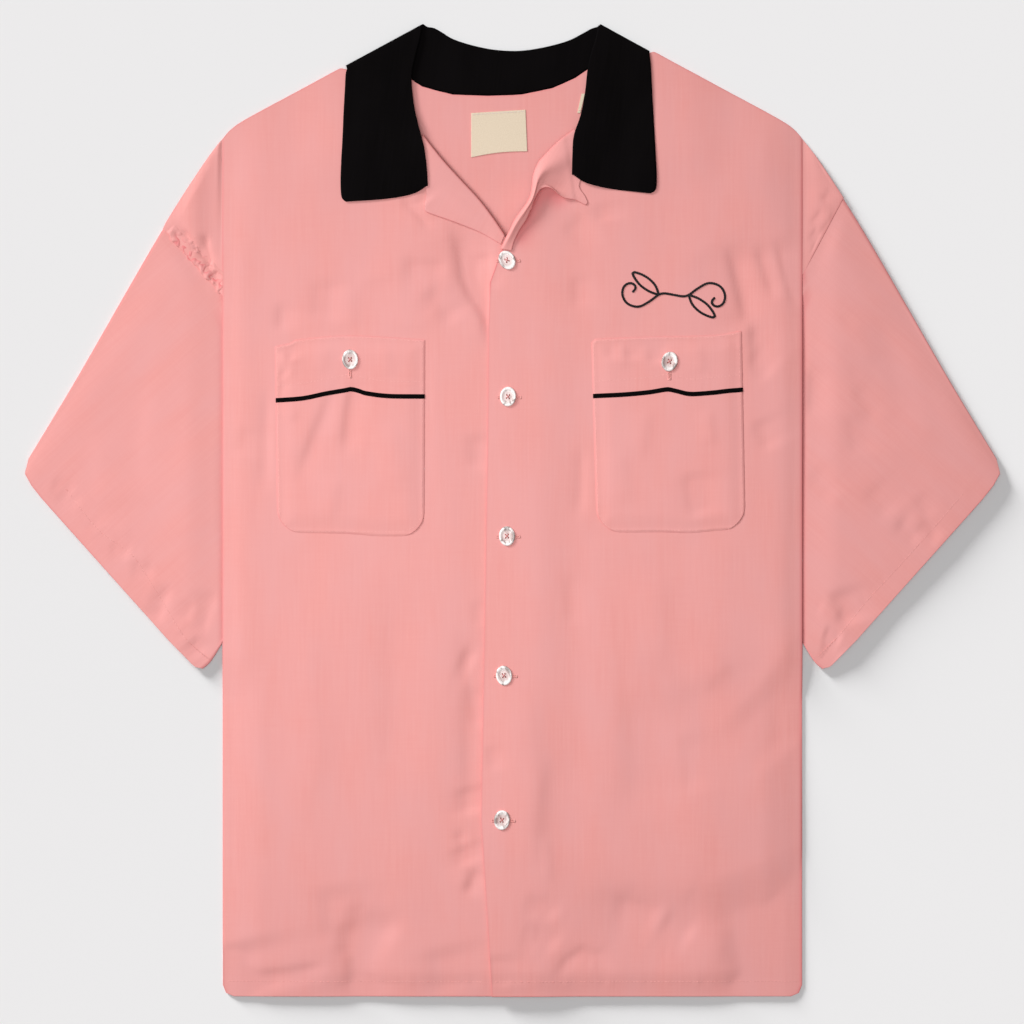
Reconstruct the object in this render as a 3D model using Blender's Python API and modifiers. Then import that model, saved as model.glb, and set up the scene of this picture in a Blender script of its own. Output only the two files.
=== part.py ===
"""A short-sleeved bowling shirt, laid flat on its back, front up.

Garment coordinates are in mm: x across (0 on the centre line, the wearer's left at +x), y up from the hem,
z up from the table. Every cloth piece is a sheet of middle points, given its wall by Solidify.
"""

import math

import bmesh
import bpy
import numpy as np

MM = 0.001

# Cloth
WALL = 1.0  # thickness of every cloth wall
PLY = 1.45  # step from one layer's middle to the next
SEAM_GAP = 0.3  # between two pieces that are sewn edge to edge
FLOOR_PLY = WALL / 2  # middle of a layer that lies on the table

# Body
GARMENT_HEIGHT = 776.8  # hem to collar peak
BODY_HALF = 231.6  # centre line to the side fold
HEM_CORNER = 9.0
HEM_ROUND = [
    (BODY_HALF - HEM_CORNER, 0.0), (BODY_HALF - HEM_CORNER * 0.29, HEM_CORNER * 0.29), (BODY_HALF, HEM_CORNER),
]
SLEEVE_TUCK = 9.0  # how far a sleeve's upper layer runs in under the front

# The shoulder line and the sleeve's upper edge are one line: half width, height
TOP_EDGE = [
    (71.0, 775.0), (84.4, 770.4), (131.6, 744.8), (179.6, 719.2), (213.0, 701.0), (224.4, 693.4),
    (232.2, 684.8), (244.4, 668.8), (265.6, 636.8), (285.2, 604.8), (312.8, 556.8), (349.2, 492.8),
    (386.6, 430.0),
]
CUFF = [(389.6, 418.0), (384.0, 408.0), (375.2, 397.0), (274.8, 284.8), (254.0, 263.5)]
UNDERARM = [(232.4, 282.0), (241.0, 268.0), (247.5, 262.0)]
COLLAR_INSET = 4.6  # shoulder line's step in under the collar's folded edge
COLLAR_STEP_X = (158.0, 136.0)  # where that step starts and where it is full
SHOULDER_NORMAL = (0.47, 0.88)  # out of the shoulder line
ARMHOLE_NORMAL = (0.75, -0.65)  # out of the armhole seam, towards the cuff

# The visible armhole seam of each side: where it leaves the upper edge and where it goes under the front
ARMHOLE = {
    -1: {"edge": (279.4, 613.4), "fold": (BODY_HALF, 560.0)},
    1: {"edge": (264.6, 638.3), "fold": (BODY_HALF, 576.0)},
}

# Front edges, from the hem up to where the revere goes under the collar
UNDER_EDGE = [(14.0, 0.0), (14.0, 560.0), (4.0, 596.0), (-6.0, 608.0), (-34.0, 643.0), (-67.8, 682.4)]
OVER_EDGE = [
    (-16.4, 0.0), (-23.6, 116.8), (-25.2, 141.6), (-22.4, 300.8), (-20.0, 448.0), (-19.2, 532.8),
    (-18.0, 570.4), (-6.8, 600.8), (13.0, 629.6), (19.6, 663.2), (28.4, 674.7), (47.0, 686.6),
]

# Largest folds of the fronts, kept off the pockets: x0, y0, x1, y1, half width, height
UNDER_FOLDS = [
    (-225.0, 20.0, -150.0, 27.0, 9.0, 1.6),
    (-118.0, 66.0, -128.0, 8.0, 12.0, 1.5),
    (-44.0, 100.0, -50.0, 62.0, 9.0, 1.4),
    (-52.0, 575.0, -42.0, 540.0, 10.0, 1.5),
]
OVER_FOLDS = [
    (20.0, 76.0, 34.0, 44.0, 9.0, 1.6),
    (34.0, 44.0, 66.0, 34.0, 8.0, 1.4),
    (142.0, 92.0, 150.0, 12.0, 13.0, 1.6),
]
SLEEVE_FOLDS = [
    (246.0, 300.0, 262.0, 318.0, 8.0, 1.5),
    (300.0, 330.0, 330.0, 372.0, 10.0, 1.6),
    (262.0, 560.0, 250.0, 520.0, 12.0, 1.4),
]

# Collar stations from the front end to the centre back. Columns: turn about the shoulder fold (0 on the
# front, 180 on the back), neck seam, roll and outer edge as x and y, and how far the fall's path bows down.
RIGHT_COLLAR = [
    (0, (-71.5, 648.5), (-67.6, 647.2), (-133.0, 634.8), 4.4),
    (0, (-72.0, 651.5), (-67.8, 650.5), (-136.4, 638.6), 3.0),
    (0, (-74.0, 662.0), (-68.4, 661.0), (-137.2, 651.0), 0),
    (0, (-79.0, 679.0), (-70.2, 676.0), (-136.6, 668.0), 0),
    (0, (-82.8, 689.0), (-72.4, 685.5), (-136.0, 678.5), 0),
    (0, (-86.4, 700.0), (-75.4, 697.0), (-135.4, 691.0), 0),
    (0, (-90.0, 716.0), (-78.6, 712.0), (-134.8, 706.0), 0),
    (0, (-93.0, 733.0), (-80.6, 735.0), (-133.8, 724.0), 0),
    (0, (-95.0, 746.0), (-77.4, 752.0), (-133.2, 736.0), 0),
    (0, (-96.0, 755.0), (-74.0, 766.0), (-132.2, 740.8), 0),
    (45, (-96.0, 757.6), (-72.0, 773.4), (-132.0, 741.6), 0),
    (90, (-96.0, 758.6), (-70.5, 775.0), (-132.0, 741.8), 0),
    (135, (-95.6, 757.6), (-68.8, 774.4), (-131.8, 741.4), 0),
    (180, (-95.0, 754.0), (-67.6, 772.4), (-131.6, 739.6), 0),
    (180, (-91.0, 745.0), (-63.0, 771.0), (-130.6, 728.0), 0),
    (180, (-84.0, 736.0), (-57.0, 768.0), (-120.0, 706.0), 0),
    (180, (-72.0, 727.6), (-47.6, 762.8), (-100.0, 693.0), 0),
    (180, (-47.6, 721.2), (-31.0, 759.0), (-62.0, 683.5), 0),
    (180, (-20.0, 720.2), (-13.0, 755.8), (-24.0, 680.0), 0),
]
LEFT_COLLAR = [
    (0, (51.3, 657.4), (47.4, 656.2), (110.0, 641.4), 4.4),
    (0, (51.8, 660.5), (47.5, 659.6), (114.4, 645.0), 3.0),
    (0, (54.4, 672.0), (47.8, 671.0), (115.0, 657.0), 0),
    (0, (58.0, 689.0), (48.9, 687.0), (114.0, 676.0), 0),
    (0, (66.0, 706.0), (54.4, 704.0), (113.0, 696.0), 0),
    (0, (74.0, 723.0), (59.4, 722.0), (111.8, 716.0), 0),
    (0, (83.0, 739.0), (62.0, 742.4), (110.8, 736.0), 0),
    (0, (88.0, 748.0), (64.4, 755.0), (110.2, 746.0), 0),
    (0, (93.0, 756.0), (66.4, 764.0), (109.4, 752.0), 0),
    (45, (95.0, 758.4), (68.0, 773.0), (108.6, 753.2), 0),
    (90, (95.4, 759.2), (69.0, 775.0), (108.4, 753.4), 0),
    (135, (94.6, 758.6), (68.6, 774.4), (108.3, 753.0), 0),
    (180, (91.0, 757.6), (67.6, 772.6), (108.2, 751.0), 0),
    (180, (80.0, 752.6), (63.0, 771.0), (106.8, 738.0), 0),
    (180, (66.0, 745.4), (57.0, 768.0), (100.0, 716.0), 0),
    (180, (50.0, 734.4), (44.0, 762.2), (84.0, 700.0), 0),
    (180, (32.0, 726.4), (25.0, 758.0), (54.0, 687.0), 0),
    (180, (8.0, 721.4), (6.0, 755.2), (14.0, 680.5), 0),
]
NECK_REACH = 688.0  # the fronts' neck seams start at this height
SHOULDER_FOLD_Z = FLOOR_PLY + 1.5 * PLY  # height of the line that the collar turns about at the shoulder

# Where one layer climbs onto another: it starts to rise at the first value and is a full ply up at the second
BACK_ON_COLLAR_X = (180.0, 138.0)
BACK_ON_COLLAR_Y = (640.0, 680.0)
FRONT_ON_SLEEVE_X = (198.0, 220.0)
FRONT_ON_SLEEVE_LOW = (236.0, 276.0)
FRONT_ON_SLEEVE_HIGH = (688.0, 578.0)
LEFT_ON_RIGHT_X = (58.0, 18.0)
LEFT_ON_RIGHT_Y = (640.0, 610.0)
LEAF_ON_REVERE_Y = (709.0, 691.0)
LEAF_ON_REVERE_X = {"right": (112.0, 88.0), "left": (88.0, 64.0)}

# Reveres: the roll edge and the free edge, both from the break point up to under the collar
RIGHT_REVERE_ROLL = [(-8.4, 606.6), (-36.0, 642.6), (-66.5, 680.5), (-71.5, 688.0)]
RIGHT_REVERE_FREE = [(-10.4, 602.4), (-40.0, 613.4), (-69.5, 627.6), (-86.0, 637.0)]
RIGHT_GORGE = [(-71.5, 688.0), (-80.0, 664.0), (-86.0, 637.0)]
LEFT_REVERE_ROLL = [(-3.0, 604.0), (10.0, 625.0), (15.6, 642.4), (19.8, 662.0), (29.2, 673.6), (49.0, 687.6)]
LEFT_REVERE_FREE = [
    (-1.0, 597.0), (8.4, 617.6), (14.0, 626.4), (17.6, 636.0), (24.0, 643.6), (38.8, 638.4), (55.0, 632.0),
    (60.4, 634.4),
]
LEFT_GORGE = [(49.0, 687.6), (60.0, 662.0), (60.4, 634.4)]
# How high the standing revere lifts, from the break point to the gorge: at its roll, middle and free edge
LEFT_REVERE_LIFT = [
    (0.2, 0.2, 0.2), (0.8, 1.4, 1.8), (1.6, 2.6, 4.4), (2.0, 2.4, 6.2), (1.0, 0.6, 4.2), (0.0, 0.0, 1.0),
    (0.0, 0.0, 0.0),
]

# Pockets, each with its sides' x, its top and bottom edges' y, and the line of its piping
POCKETS = {
    "right": {
        "left": -188.6, "right": -70.2, "top": 525.4, "bottom": 368.8,
        "band": [
            (-190.0, 476.2), (-149.2, 481.6), (-128.6, 485.0), (-116.4, 481.8), (-98.0, 479.6), (-69.0, 479.4),
        ],
    },
    "left": {
        "left": 65.0, "right": 184.6, "top": 527.0, "bottom": 371.4,
        "band": [
            (62.0, 479.6), (88.0, 480.8), (108.0, 482.6), (124.4, 485.0), (142.0, 481.6), (187.0, 485.0),
        ],
    },
}
POCKET_CORNER = 19.0
PIPING = 3.4  # width that shows
PIPING_WALL = 1.4  # a folded strip round its cord
PIPING_RISE = 0.2

# Buttons: x and y of each, and the oval disc's size
FRONT_BUTTONS = [(-4.4, 588.0), (-3.6, 479.2), (-4.4, 368.0), (-6.8, 256.8), (-8.4, 141.6)]
POCKET_BUTTONS = {"right": (-129.5, 508.8), "left": (125.2, 507.2)}
BUTTON_WIDTH = 12.8
BUTTON_HEIGHT = 15.8
BUTTON_THICK = 2.6
BUTTON_MIDDLE = 1.6  # thickness inside the raised rim
BUTTON_HOLE = 1.5  # across
BUTTON_HOLE_OFF = 1.9  # from the middle

LABEL = [(-33.0, 706.0), (10.4, 708.6), (11.8, 675.4), (-33.0, 670.6)]
TAG = [(53.6, 720.0), (56.0, 720.0), (52.2, 705.0), (50.0, 705.0)]



def smooth(t):
    t = np.clip(t, 0.0, 1.0)
    return t * t * (3 - 2 * t)


def fine_line(points, steps=12):
    """A Catmull-Rom curve through the points, as a polyline."""
    p = np.array([points[0], *points, points[-1]], float)
    out = []
    for i in range(1, len(p) - 2):
        for t in np.arange(steps) / steps:
            a, b, c, d = p[i - 1], p[i], p[i + 1], p[i + 2]
            bend = (2 * a - 5 * b + 4 * c - d) * t**2
            out.append(0.5 * (2 * b + (c - a) * t + bend + (3 * b - a - 3 * c + d) * t**3))
    out.append(p[-2])
    return np.array(out)


def along(line, at):
    """Points at these fractions of the polyline's length."""
    line = np.array(line, float)
    run = fractions(line)
    return np.stack([np.interp(at, run, line[:, k]) for k in range(line.shape[1])], axis=-1)


def fractions(line):
    """How far along a polyline each of its points lies, from 0 to 1."""
    run = np.concatenate([[0], np.cumsum(np.linalg.norm(np.diff(line, axis=0), axis=1))])
    return run / run[-1]


def at_heights(line, heights):
    """Points of a line that climbs in y, at these heights."""
    line = np.array(line, float)
    return np.stack([np.interp(heights, line[:, 1], line[:, 0]), heights], axis=-1)


def patch(bottom, top, left, right, s, t):
    """A Coons patch: rows run along s from left to right, one for each t from bottom to top."""
    s, t = np.array(s)[None, :, None], np.array(t)[:, None, None]
    b, u, l, r = bottom[None], top[None], left[:, None], right[:, None]
    corners = (
        (1 - s) * (1 - t) * bottom[0] + s * (1 - t) * bottom[-1] + (1 - s) * t * top[0] + s * t * top[-1]
    )
    return (1 - t) * b + t * u + (1 - s) * l + s * r - corners


def ridge(x, y, folds):
    """Height of soft folds: each dies away to its sides and at its two ends."""
    z = np.zeros(np.broadcast(x, y).shape)
    for x0, y0, x1, y1, half_width, height in folds:
        run = np.array([x1 - x0, y1 - y0])
        length = math.hypot(*run)
        way = ((x - x0) * run[0] + (y - y0) * run[1]) / length**2
        off = ((x - x0) * run[1] - (y - y0) * run[0]) / length
        ends = smooth(4 * (way + 0.15)) * smooth(4 * (1.15 - way))
        z = z + height * np.exp(-((off / half_width) ** 2)) * ends
    return z



def climb(value, ends):
    """0 at the first end and 1 at the second, with a soft step between them."""
    start, full = ends
    return smooth((value - start) / (full - start))


def back_z(x, y):
    """The back lies on the table, and over the collar's fall near the neck."""
    return FLOOR_PLY + PLY * climb(np.abs(x), BACK_ON_COLLAR_X) * climb(y, BACK_ON_COLLAR_Y)


def front_z(x, y):
    """A front lies on the back, and over the tucked-in sleeve at the side fold."""
    up_the_side = climb(y, FRONT_ON_SLEEVE_LOW) * climb(y, FRONT_ON_SLEEVE_HIGH)
    over_sleeve = climb(np.abs(x), FRONT_ON_SLEEVE_X) * up_the_side
    return back_z(x, y) + PLY + PLY * over_sleeve + ridge(x, y, UNDER_FOLDS)


def over_front_z(x, y):
    """The wearer's left front lies over the other one at the button line."""
    over_other = climb(x, LEFT_ON_RIGHT_X) * climb(y, LEFT_ON_RIGHT_Y)
    return front_z(x, y) + PLY * over_other + ridge(x, y, OVER_FOLDS)


def leaf_z(x, y):
    """The collar's leaf lies on the front, and near its end also on the revere and on its own turned edge."""
    inner = np.where(x < 0, climb(-x, LEAF_ON_REVERE_X["right"]), climb(x, LEAF_ON_REVERE_X["left"]))
    return front_z(x, y) + PLY + 2 * PLY * climb(y, LEAF_ON_REVERE_Y) * inner


def sleeve_z(x, y):
    return FLOOR_PLY + PLY + ridge(np.abs(x), y, SLEEVE_FOLDS)


def cap_z(x, y):
    """The front's stretch beside the armhole lies on the back, one ply up."""
    return FLOOR_PLY + PLY



def material(name, colour, roughness):
    mat = bpy.data.materials.new(name)
    mat.use_nodes = True
    shader = mat.node_tree.nodes["Principled BSDF"]
    shader.inputs["Base Color"].default_value = (*colour, 1)
    shader.inputs["Roughness"].default_value = roughness
    shader.inputs["Metallic"].default_value = 0.0
    return mat


def add_object(name, bm, mat, shirt):
    mesh = bpy.data.meshes.new(name)
    bm.to_mesh(mesh)
    bm.free()
    mesh.materials.append(mat)
    obj = bpy.data.objects.new(name, mesh)
    shirt.collection.objects.link(obj)
    obj.parent = shirt.frame
    return obj


def thicken(obj, wall=WALL):
    solid = obj.modifiers.new("wall", "SOLIDIFY")
    solid.thickness = wall * MM
    solid.offset = 0
    return obj


def sheet(name, rows, mat, shirt, ring=False, wall=WALL, caps=()):
    """A cloth wall on rows of middle points. caps are extra rows of points beyond the last column, given as
    (row index, points), and a row with no points closes the cap to that row's last point."""
    bm = bmesh.new()
    verts = [[bm.verts.new(np.array(p) * MM) for p in row] for row in rows]
    for low, high in zip(verts, verts[1:]):
        count = len(low)
        for i in range(count if ring else count - 1):
            k = (i + 1) % count
            bm.faces.new((low[i], low[k], high[k], high[i]))
    last = None
    for row, points in caps:
        strip = [verts[row][-1]] + [bm.verts.new(np.array(p) * MM) for p in points]
        if last is not None:
            join_strips(bm, last, strip)
        last = strip
    bmesh.ops.recalc_face_normals(bm, faces=bm.faces)
    return thicken(add_object(name, bm, mat, shirt), wall)


def join_strips(bm, low, high):
    """Faces between two strips of points, of which one may be a single point."""
    if len(low) == 1:
        for i in range(len(high) - 1):
            bm.faces.new((low[0], high[i + 1], high[i]))
    elif len(high) == 1:
        for i in range(len(low) - 1):
            bm.faces.new((low[i], low[i + 1], high[0]))
    else:
        for i in range(len(low) - 1):
            bm.faces.new((low[i], low[i + 1], high[i + 1], high[i]))


def raised(grid, z_of):
    """The grid's x and y with z added."""
    return np.concatenate([grid, z_of(grid[..., 0], grid[..., 1])[..., None]], axis=-1)


def shoulder_line():
    """TOP_EDGE, stepped in where the collar folds over it."""
    line = fine_line(TOP_EDGE)
    step = COLLAR_INSET * climb(line[:, 0], COLLAR_STEP_X)
    return line - step[:, None] * np.array(SHOULDER_NORMAL)


def neck_edge(stations, turns, lowest=0.0):
    """A panel's neck edge: the collar's seam points at these turns, moved back by a seam gap."""
    points = []
    for turn, seam, roll, *_ in stations:
        if turn in turns and seam[1] > lowest:
            back = np.array(seam) - np.array(roll)
            points.append(np.array(seam) + back / np.linalg.norm(back) * SEAM_GAP * 1.5)
    return np.array(points)



def half_back(side):
    """One side's grid of the back, from the centre line to the side and the armhole."""
    edge, fold = ARMHOLE[side]["edge"], ARMHOLE[side]["fold"]
    neck = neck_edge(RIGHT_COLLAR if side < 0 else LEFT_COLLAR, (180,))[::-1] * (side, 1)
    middle = (neck_edge(RIGHT_COLLAR, (180,))[-1, 1] + neck_edge(LEFT_COLLAR, (180,))[-1, 1]) / 2
    shoulder = shoulder_line()
    shoulder = shoulder[(shoulder[:, 0] > neck[-1, 0] + 2) & (shoulder[:, 0] < edge[0] - 2)]
    top = np.concatenate([[(0.0, middle)], neck, shoulder, [edge]])
    at_neck = fractions(top)[: len(neck) + 1]
    across = np.concatenate([at_neck, np.linspace(at_neck[-1], 1, 11)[1:]])
    crossing = fold[1] / edge[1]
    low_rows = [0, *(HEM_CORNER / edge[1] * np.array([0.29, 1])), 0.06]
    body_rows = np.linspace(0.1, 0.8, 7)
    chest_rows = np.linspace(0.8, crossing, 6)[1:]
    up = np.concatenate([low_rows, body_rows, chest_rows, np.linspace(crossing, 1, 8)[1:]])
    side_line = [*HEM_ROUND, fold, edge]
    right = at_heights(side_line, up * edge[1])
    grid = patch(
        np.stack([across * right[0, 0], across * 0], axis=-1),
        along(top, across),
        np.stack([up * 0, up * middle], axis=-1),
        right,
        across,
        up,
    )
    return grid * (side, 1)


def back_panel(mat, shirt):
    right, left = half_back(-1), half_back(1)
    grid = np.concatenate([right[:, ::-1], left[:, 1:]], axis=1)
    return sheet("back_panel", raised(grid, back_z), mat, shirt)


def front_grid(side, edge_line):
    """A front's grid, from its front edge to the side fold. Rows climb from the hem to the shoulder."""
    crossing = ARMHOLE[side]["fold"][1]
    shoulder = shoulder_line()
    seam = neck_edge(RIGHT_COLLAR if side < 0 else LEFT_COLLAR, (0,), NECK_REACH)
    edge_line = np.concatenate([edge_line, seam])
    neck = edge_line[-1] * (side, 1)
    shoulder = shoulder[(shoulder[:, 0] > neck[0] + 2) & (shoulder[:, 0] <= BODY_HALF)]
    corner = np.interp(BODY_HALF, *np.array(TOP_EDGE).T)
    top = np.concatenate([[neck], shoulder, [(BODY_HALF, corner)]])
    low = crossing / corner
    low_rows = [0, *(HEM_CORNER / corner * np.array([0.29, 1]))]
    chest_rows = np.linspace(low, seam[0][1] / neck[1], 6)[1:]
    up = np.concatenate([low_rows, np.linspace(0.04, low, 18), chest_rows, seam[1:, 1] / neck[1]])
    by_side = np.linspace(0.84, 1, 5)[1:]
    across = np.concatenate([np.linspace(0, 0.28, 6), np.linspace(0.28, 0.84, 8)[1:], by_side])
    left = at_heights(edge_line * (side, 1), up * neck[1])
    side_line = [*HEM_ROUND, (BODY_HALF, corner)]
    right = at_heights(side_line, up * corner)
    bottom = left[0] + (right[0] - left[0]) * across[:, None]
    crossing_row = int(np.argmin(np.abs(up - low)))
    return patch(bottom, along(top, across), left, right, across, up) * (side, 1), crossing_row


def shoulder_cap(side, rows, crossing_row, z_of):
    """The stretch between the side fold and the armhole seam, from the crossing up to the shoulder."""
    edge = np.array(ARMHOLE[side]["edge"])
    top_line = shoulder_line()
    top_line = top_line[(top_line[:, 0] > BODY_HALF + 1) & (top_line[:, 0] < edge[0] - 1)][::-1]
    low = np.array([BODY_HALF, rows[crossing_row][-1][1]])
    high = np.array([BODY_HALF, rows[-1][-1][1]])
    rim = np.concatenate([[low], [edge], top_line, [high]])
    count = len(rows) - 1 - crossing_row
    caps = [(crossing_row, [])]
    for i in range(1, count):
        out = along(rim, [i / count])[0]
        start = np.array([BODY_HALF, rows[crossing_row + i][-1][1]])
        width = out[0] - start[0]
        steps = np.array([min(0.4, 4 / width), 0.55, 1.0])
        points = start + (out - start) * steps[:, None]
        caps.append((crossing_row + i, [(p[0] * side, p[1], z_of(p[0], p[1])) for p in points]))
    caps.append((len(rows) - 1, []))
    return caps


def front(name, side, edge_line, z_of, mat, shirt):
    grid, crossing_row = front_grid(side, edge_line)
    rows = raised(grid, z_of)
    return sheet(name, rows, mat, shirt, caps=shoulder_cap(side, rows, crossing_row, cap_z))


def sleeve(name, side, mat, shirt):
    """A flattened tube: rings from the armhole to the cuff, each over the top and back underneath."""
    hole = ARMHOLE[side]
    edge, fold = np.array(hole["edge"]), np.array(hole["fold"])
    out = np.array(ARMHOLE_NORMAL) * SEAM_GAP * 1.4
    top_line = fine_line(TOP_EDGE)
    top_edge = np.concatenate([[edge + out], top_line[top_line[:, 0] > edge[0] + 1]])
    cuff = np.array([top_edge[-1], *CUFF, UNDERARM[-1]])
    down = np.concatenate([np.linspace(0, 0.2, 5), np.linspace(0.2, 0.97, 12)[1:], [1.0]])
    tube = np.linspace(0, 1, 10)
    # The seam end of each layer: the upper one runs in under the front, the lower one meets the back
    seam = along([edge + out, fold + out + (0.6, -0.5)], np.linspace(0, 1, 5))
    tucked = BODY_HALF - SLEEVE_TUCK
    upper_end = [(tucked, fold[1] - 14), (tucked, UNDERARM[0][1] + 32), UNDERARM[0]]
    lower_end = [(BODY_HALF + SEAM_GAP, fold[1] - 14), UNDERARM[0]]
    layers = []
    for end in (upper_end, lower_end):
        inner = np.concatenate([seam, along(end, np.linspace(0, 1, 12))])
        outer = along(cuff, down)
        rows = patch(along(top_edge, tube), along(fine_line(UNDERARM), tube), inner, outer, tube, down)
        layers.append(np.swapaxes(rows, 0, 1) * (side, 1))
    rings = []
    for over, under in zip(*layers):
        high = raised(over[1:-1], sleeve_z)
        low = raised(under[1:-1], lambda x, y: x * 0 + FLOOR_PLY)
        up = half_round(over[0], high[0], low[0])
        back_down = half_round(over[-1], high[-1], low[-1])[::-1]
        rings.append([*up, *high, *back_down, *low[::-1]])
    return sheet(name, rings, mat, shirt, ring=True)


def half_round(edge_point, high, low):
    """Three points, climbing, of the half round that joins a tube's layers at its folded edge."""
    radius = PLY / 2
    toward = np.array(edge_point) - (high[:2] + low[:2]) / 2
    toward /= np.linalg.norm(toward)
    centre = np.array(edge_point) - toward * (radius + WALL / 2)
    points = []
    for angle in np.radians([-60, 0, 60]):
        out = centre + toward * math.cos(angle) * radius
        points.append((*out, FLOOR_PLY + radius + math.sin(angle) * radius))
    return points



def unit(v):
    return v / np.linalg.norm(v)


def collar_path(station, side, z_leaf):
    """One station's path: from the neck seam along the stand, round the roll and along the fall."""
    turn, seam, roll, outer, bow = station
    seam, roll, outer = (np.array(p) for p in (seam, roll, outer))
    away = unit(roll - (seam + outer) / 2)
    beside = np.array([-away[1], away[0]]) * -side  # towards the outside of the shoulder fold
    radius = PLY / 2
    centre = roll - away * (radius + WALL / 2)
    sine, cosine = math.sin(math.radians(turn)), math.cos(math.radians(turn))
    stand_out = unit(np.array([-(roll - seam)[1], (roll - seam)[0]])) * -side
    fall_out = unit(np.array([(outer - roll)[1], -(outer - roll)[0]])) * -side

    def lift(p):
        return 0.0 if turn else float(z_leaf(*p)) - SHOULDER_FOLD_Z - 3 * radius

    points = []
    for f in (0.0, 0.5, 1.0):
        p = seam + (centre - seam) * f
        points.append((*(p + stand_out * radius * sine), SHOULDER_FOLD_Z + radius * cosine + lift(p)))
    for angle in np.radians([45, 90, 135]):
        swing = -math.cos(angle)
        p = centre + away * math.sin(angle) * radius + beside * sine * radius * (2 + swing)
        points.append((*p, SHOULDER_FOLD_Z + cosine * radius * (2 + swing) + lift(centre)))
    for f in (0.0, 0.14, 0.34, 0.56, 0.78, 1.0):
        p = centre + (outer - centre) * f - (0, bow * math.sin(math.pi * f**0.6))
        height = lift(p)
        p = p + fall_out * 3 * radius * sine
        points.append((*p, SHOULDER_FOLD_Z + 3 * radius * cosine + height))
    return points


def collar(mat, shirt):
    right = [collar_path(station, -1, leaf_z) for station in RIGHT_COLLAR]
    left = [collar_path(station, 1, leaf_z) for station in LEFT_COLLAR]
    return sheet("collar", right + left[::-1], mat, shirt)


def revere(name, roll, free, gorge, z_of, mat, shirt, lift=((0, 0, 0), (0, 0, 0))):
    """A facing turned out over its front, from the break point up to the gorge under the collar."""
    up, across = np.linspace(0, 1, 13), np.linspace(0, 1, 6)
    ends = along([roll[0], free[0]], across), along(fine_line(gorge), across)
    grid = patch(*ends, along(fine_line(roll), up), along(fine_line(free), up), across, up)
    rows = raised(grid, z_of)
    rise = np.array(lift, float)
    by_row = np.stack([np.interp(up, np.linspace(0, 1, len(rise)), rise[:, k]) for k in range(3)], axis=-1)
    rows[..., 2] += PLY + np.stack([np.interp(across, (0, 0.5, 1), r) for r in by_row])
    return sheet(name, rows, mat, shirt)



def pocket_piece(name, pocket, low, high, up, z_of, mat, shirt, rise=0.0, wall=WALL):
    """A piece of a pocket between two lines, each given as heights at its points across."""
    across = np.linspace(0, 1, 13)
    rows = []
    for t in up:
        y = low + (high - low) * t
        depth = np.clip(POCKET_CORNER - (y - pocket["bottom"]), 0, POCKET_CORNER)
        inset = POCKET_CORNER - np.sqrt(POCKET_CORNER**2 - depth**2)
        x = pocket["left"] + inset + (pocket["right"] - pocket["left"] - 2 * inset) * across
        rows.append(np.stack([x, y, z_of(x, y) + PLY + rise], axis=-1))
    return sheet(name, rows, mat, shirt, wall=wall)


def pocket(name, z_of, pink, black, shirt):
    """A patch pocket in three pieces: its body, its piping and the band along its top."""
    shape = POCKETS[name]
    across = np.linspace(shape["left"], shape["right"], 13)
    line = np.interp(across, *np.array(shape["band"]).T)
    bottom, top = across * 0 + shape["bottom"], across * 0 + shape["top"]
    below, above = line - PIPING / 2, line + PIPING / 2
    body_rows = [0.0, 0.02, 0.055, 0.1, 0.155, 0.3, 0.45, 0.6, 0.8, 1.0]
    band_rows = [0, 0.35, 0.7, 1]
    pocket_piece(f"pocket_{name}", shape, bottom, below - SEAM_GAP, body_rows, z_of, pink, shirt)
    pocket_piece(f"pocket_band_{name}", shape, above + SEAM_GAP, top, band_rows, z_of, pink, shirt)
    pocket_piece(
        f"pocket_piping_{name}", shape, below, above, [0, 1], z_of, black, shirt, PIPING_RISE, PIPING_WALL
    )


def flat_piece(name, corners, z_of, mat, shirt):
    """A small four-cornered piece that lies on the cloth; corners run round from the top left."""
    top_left, top_right, low_right, low_left = (np.array(c) for c in corners)
    steps = np.linspace(0, 1, 5)[:, None]
    low, high = low_left + (low_right - low_left) * steps, top_left + (top_right - top_left) * steps
    rows = raised(np.array([low + (high - low) * t for t in steps]), z_of)
    rows[..., 2] += PLY
    return sheet(name, rows, mat, shirt)


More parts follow.
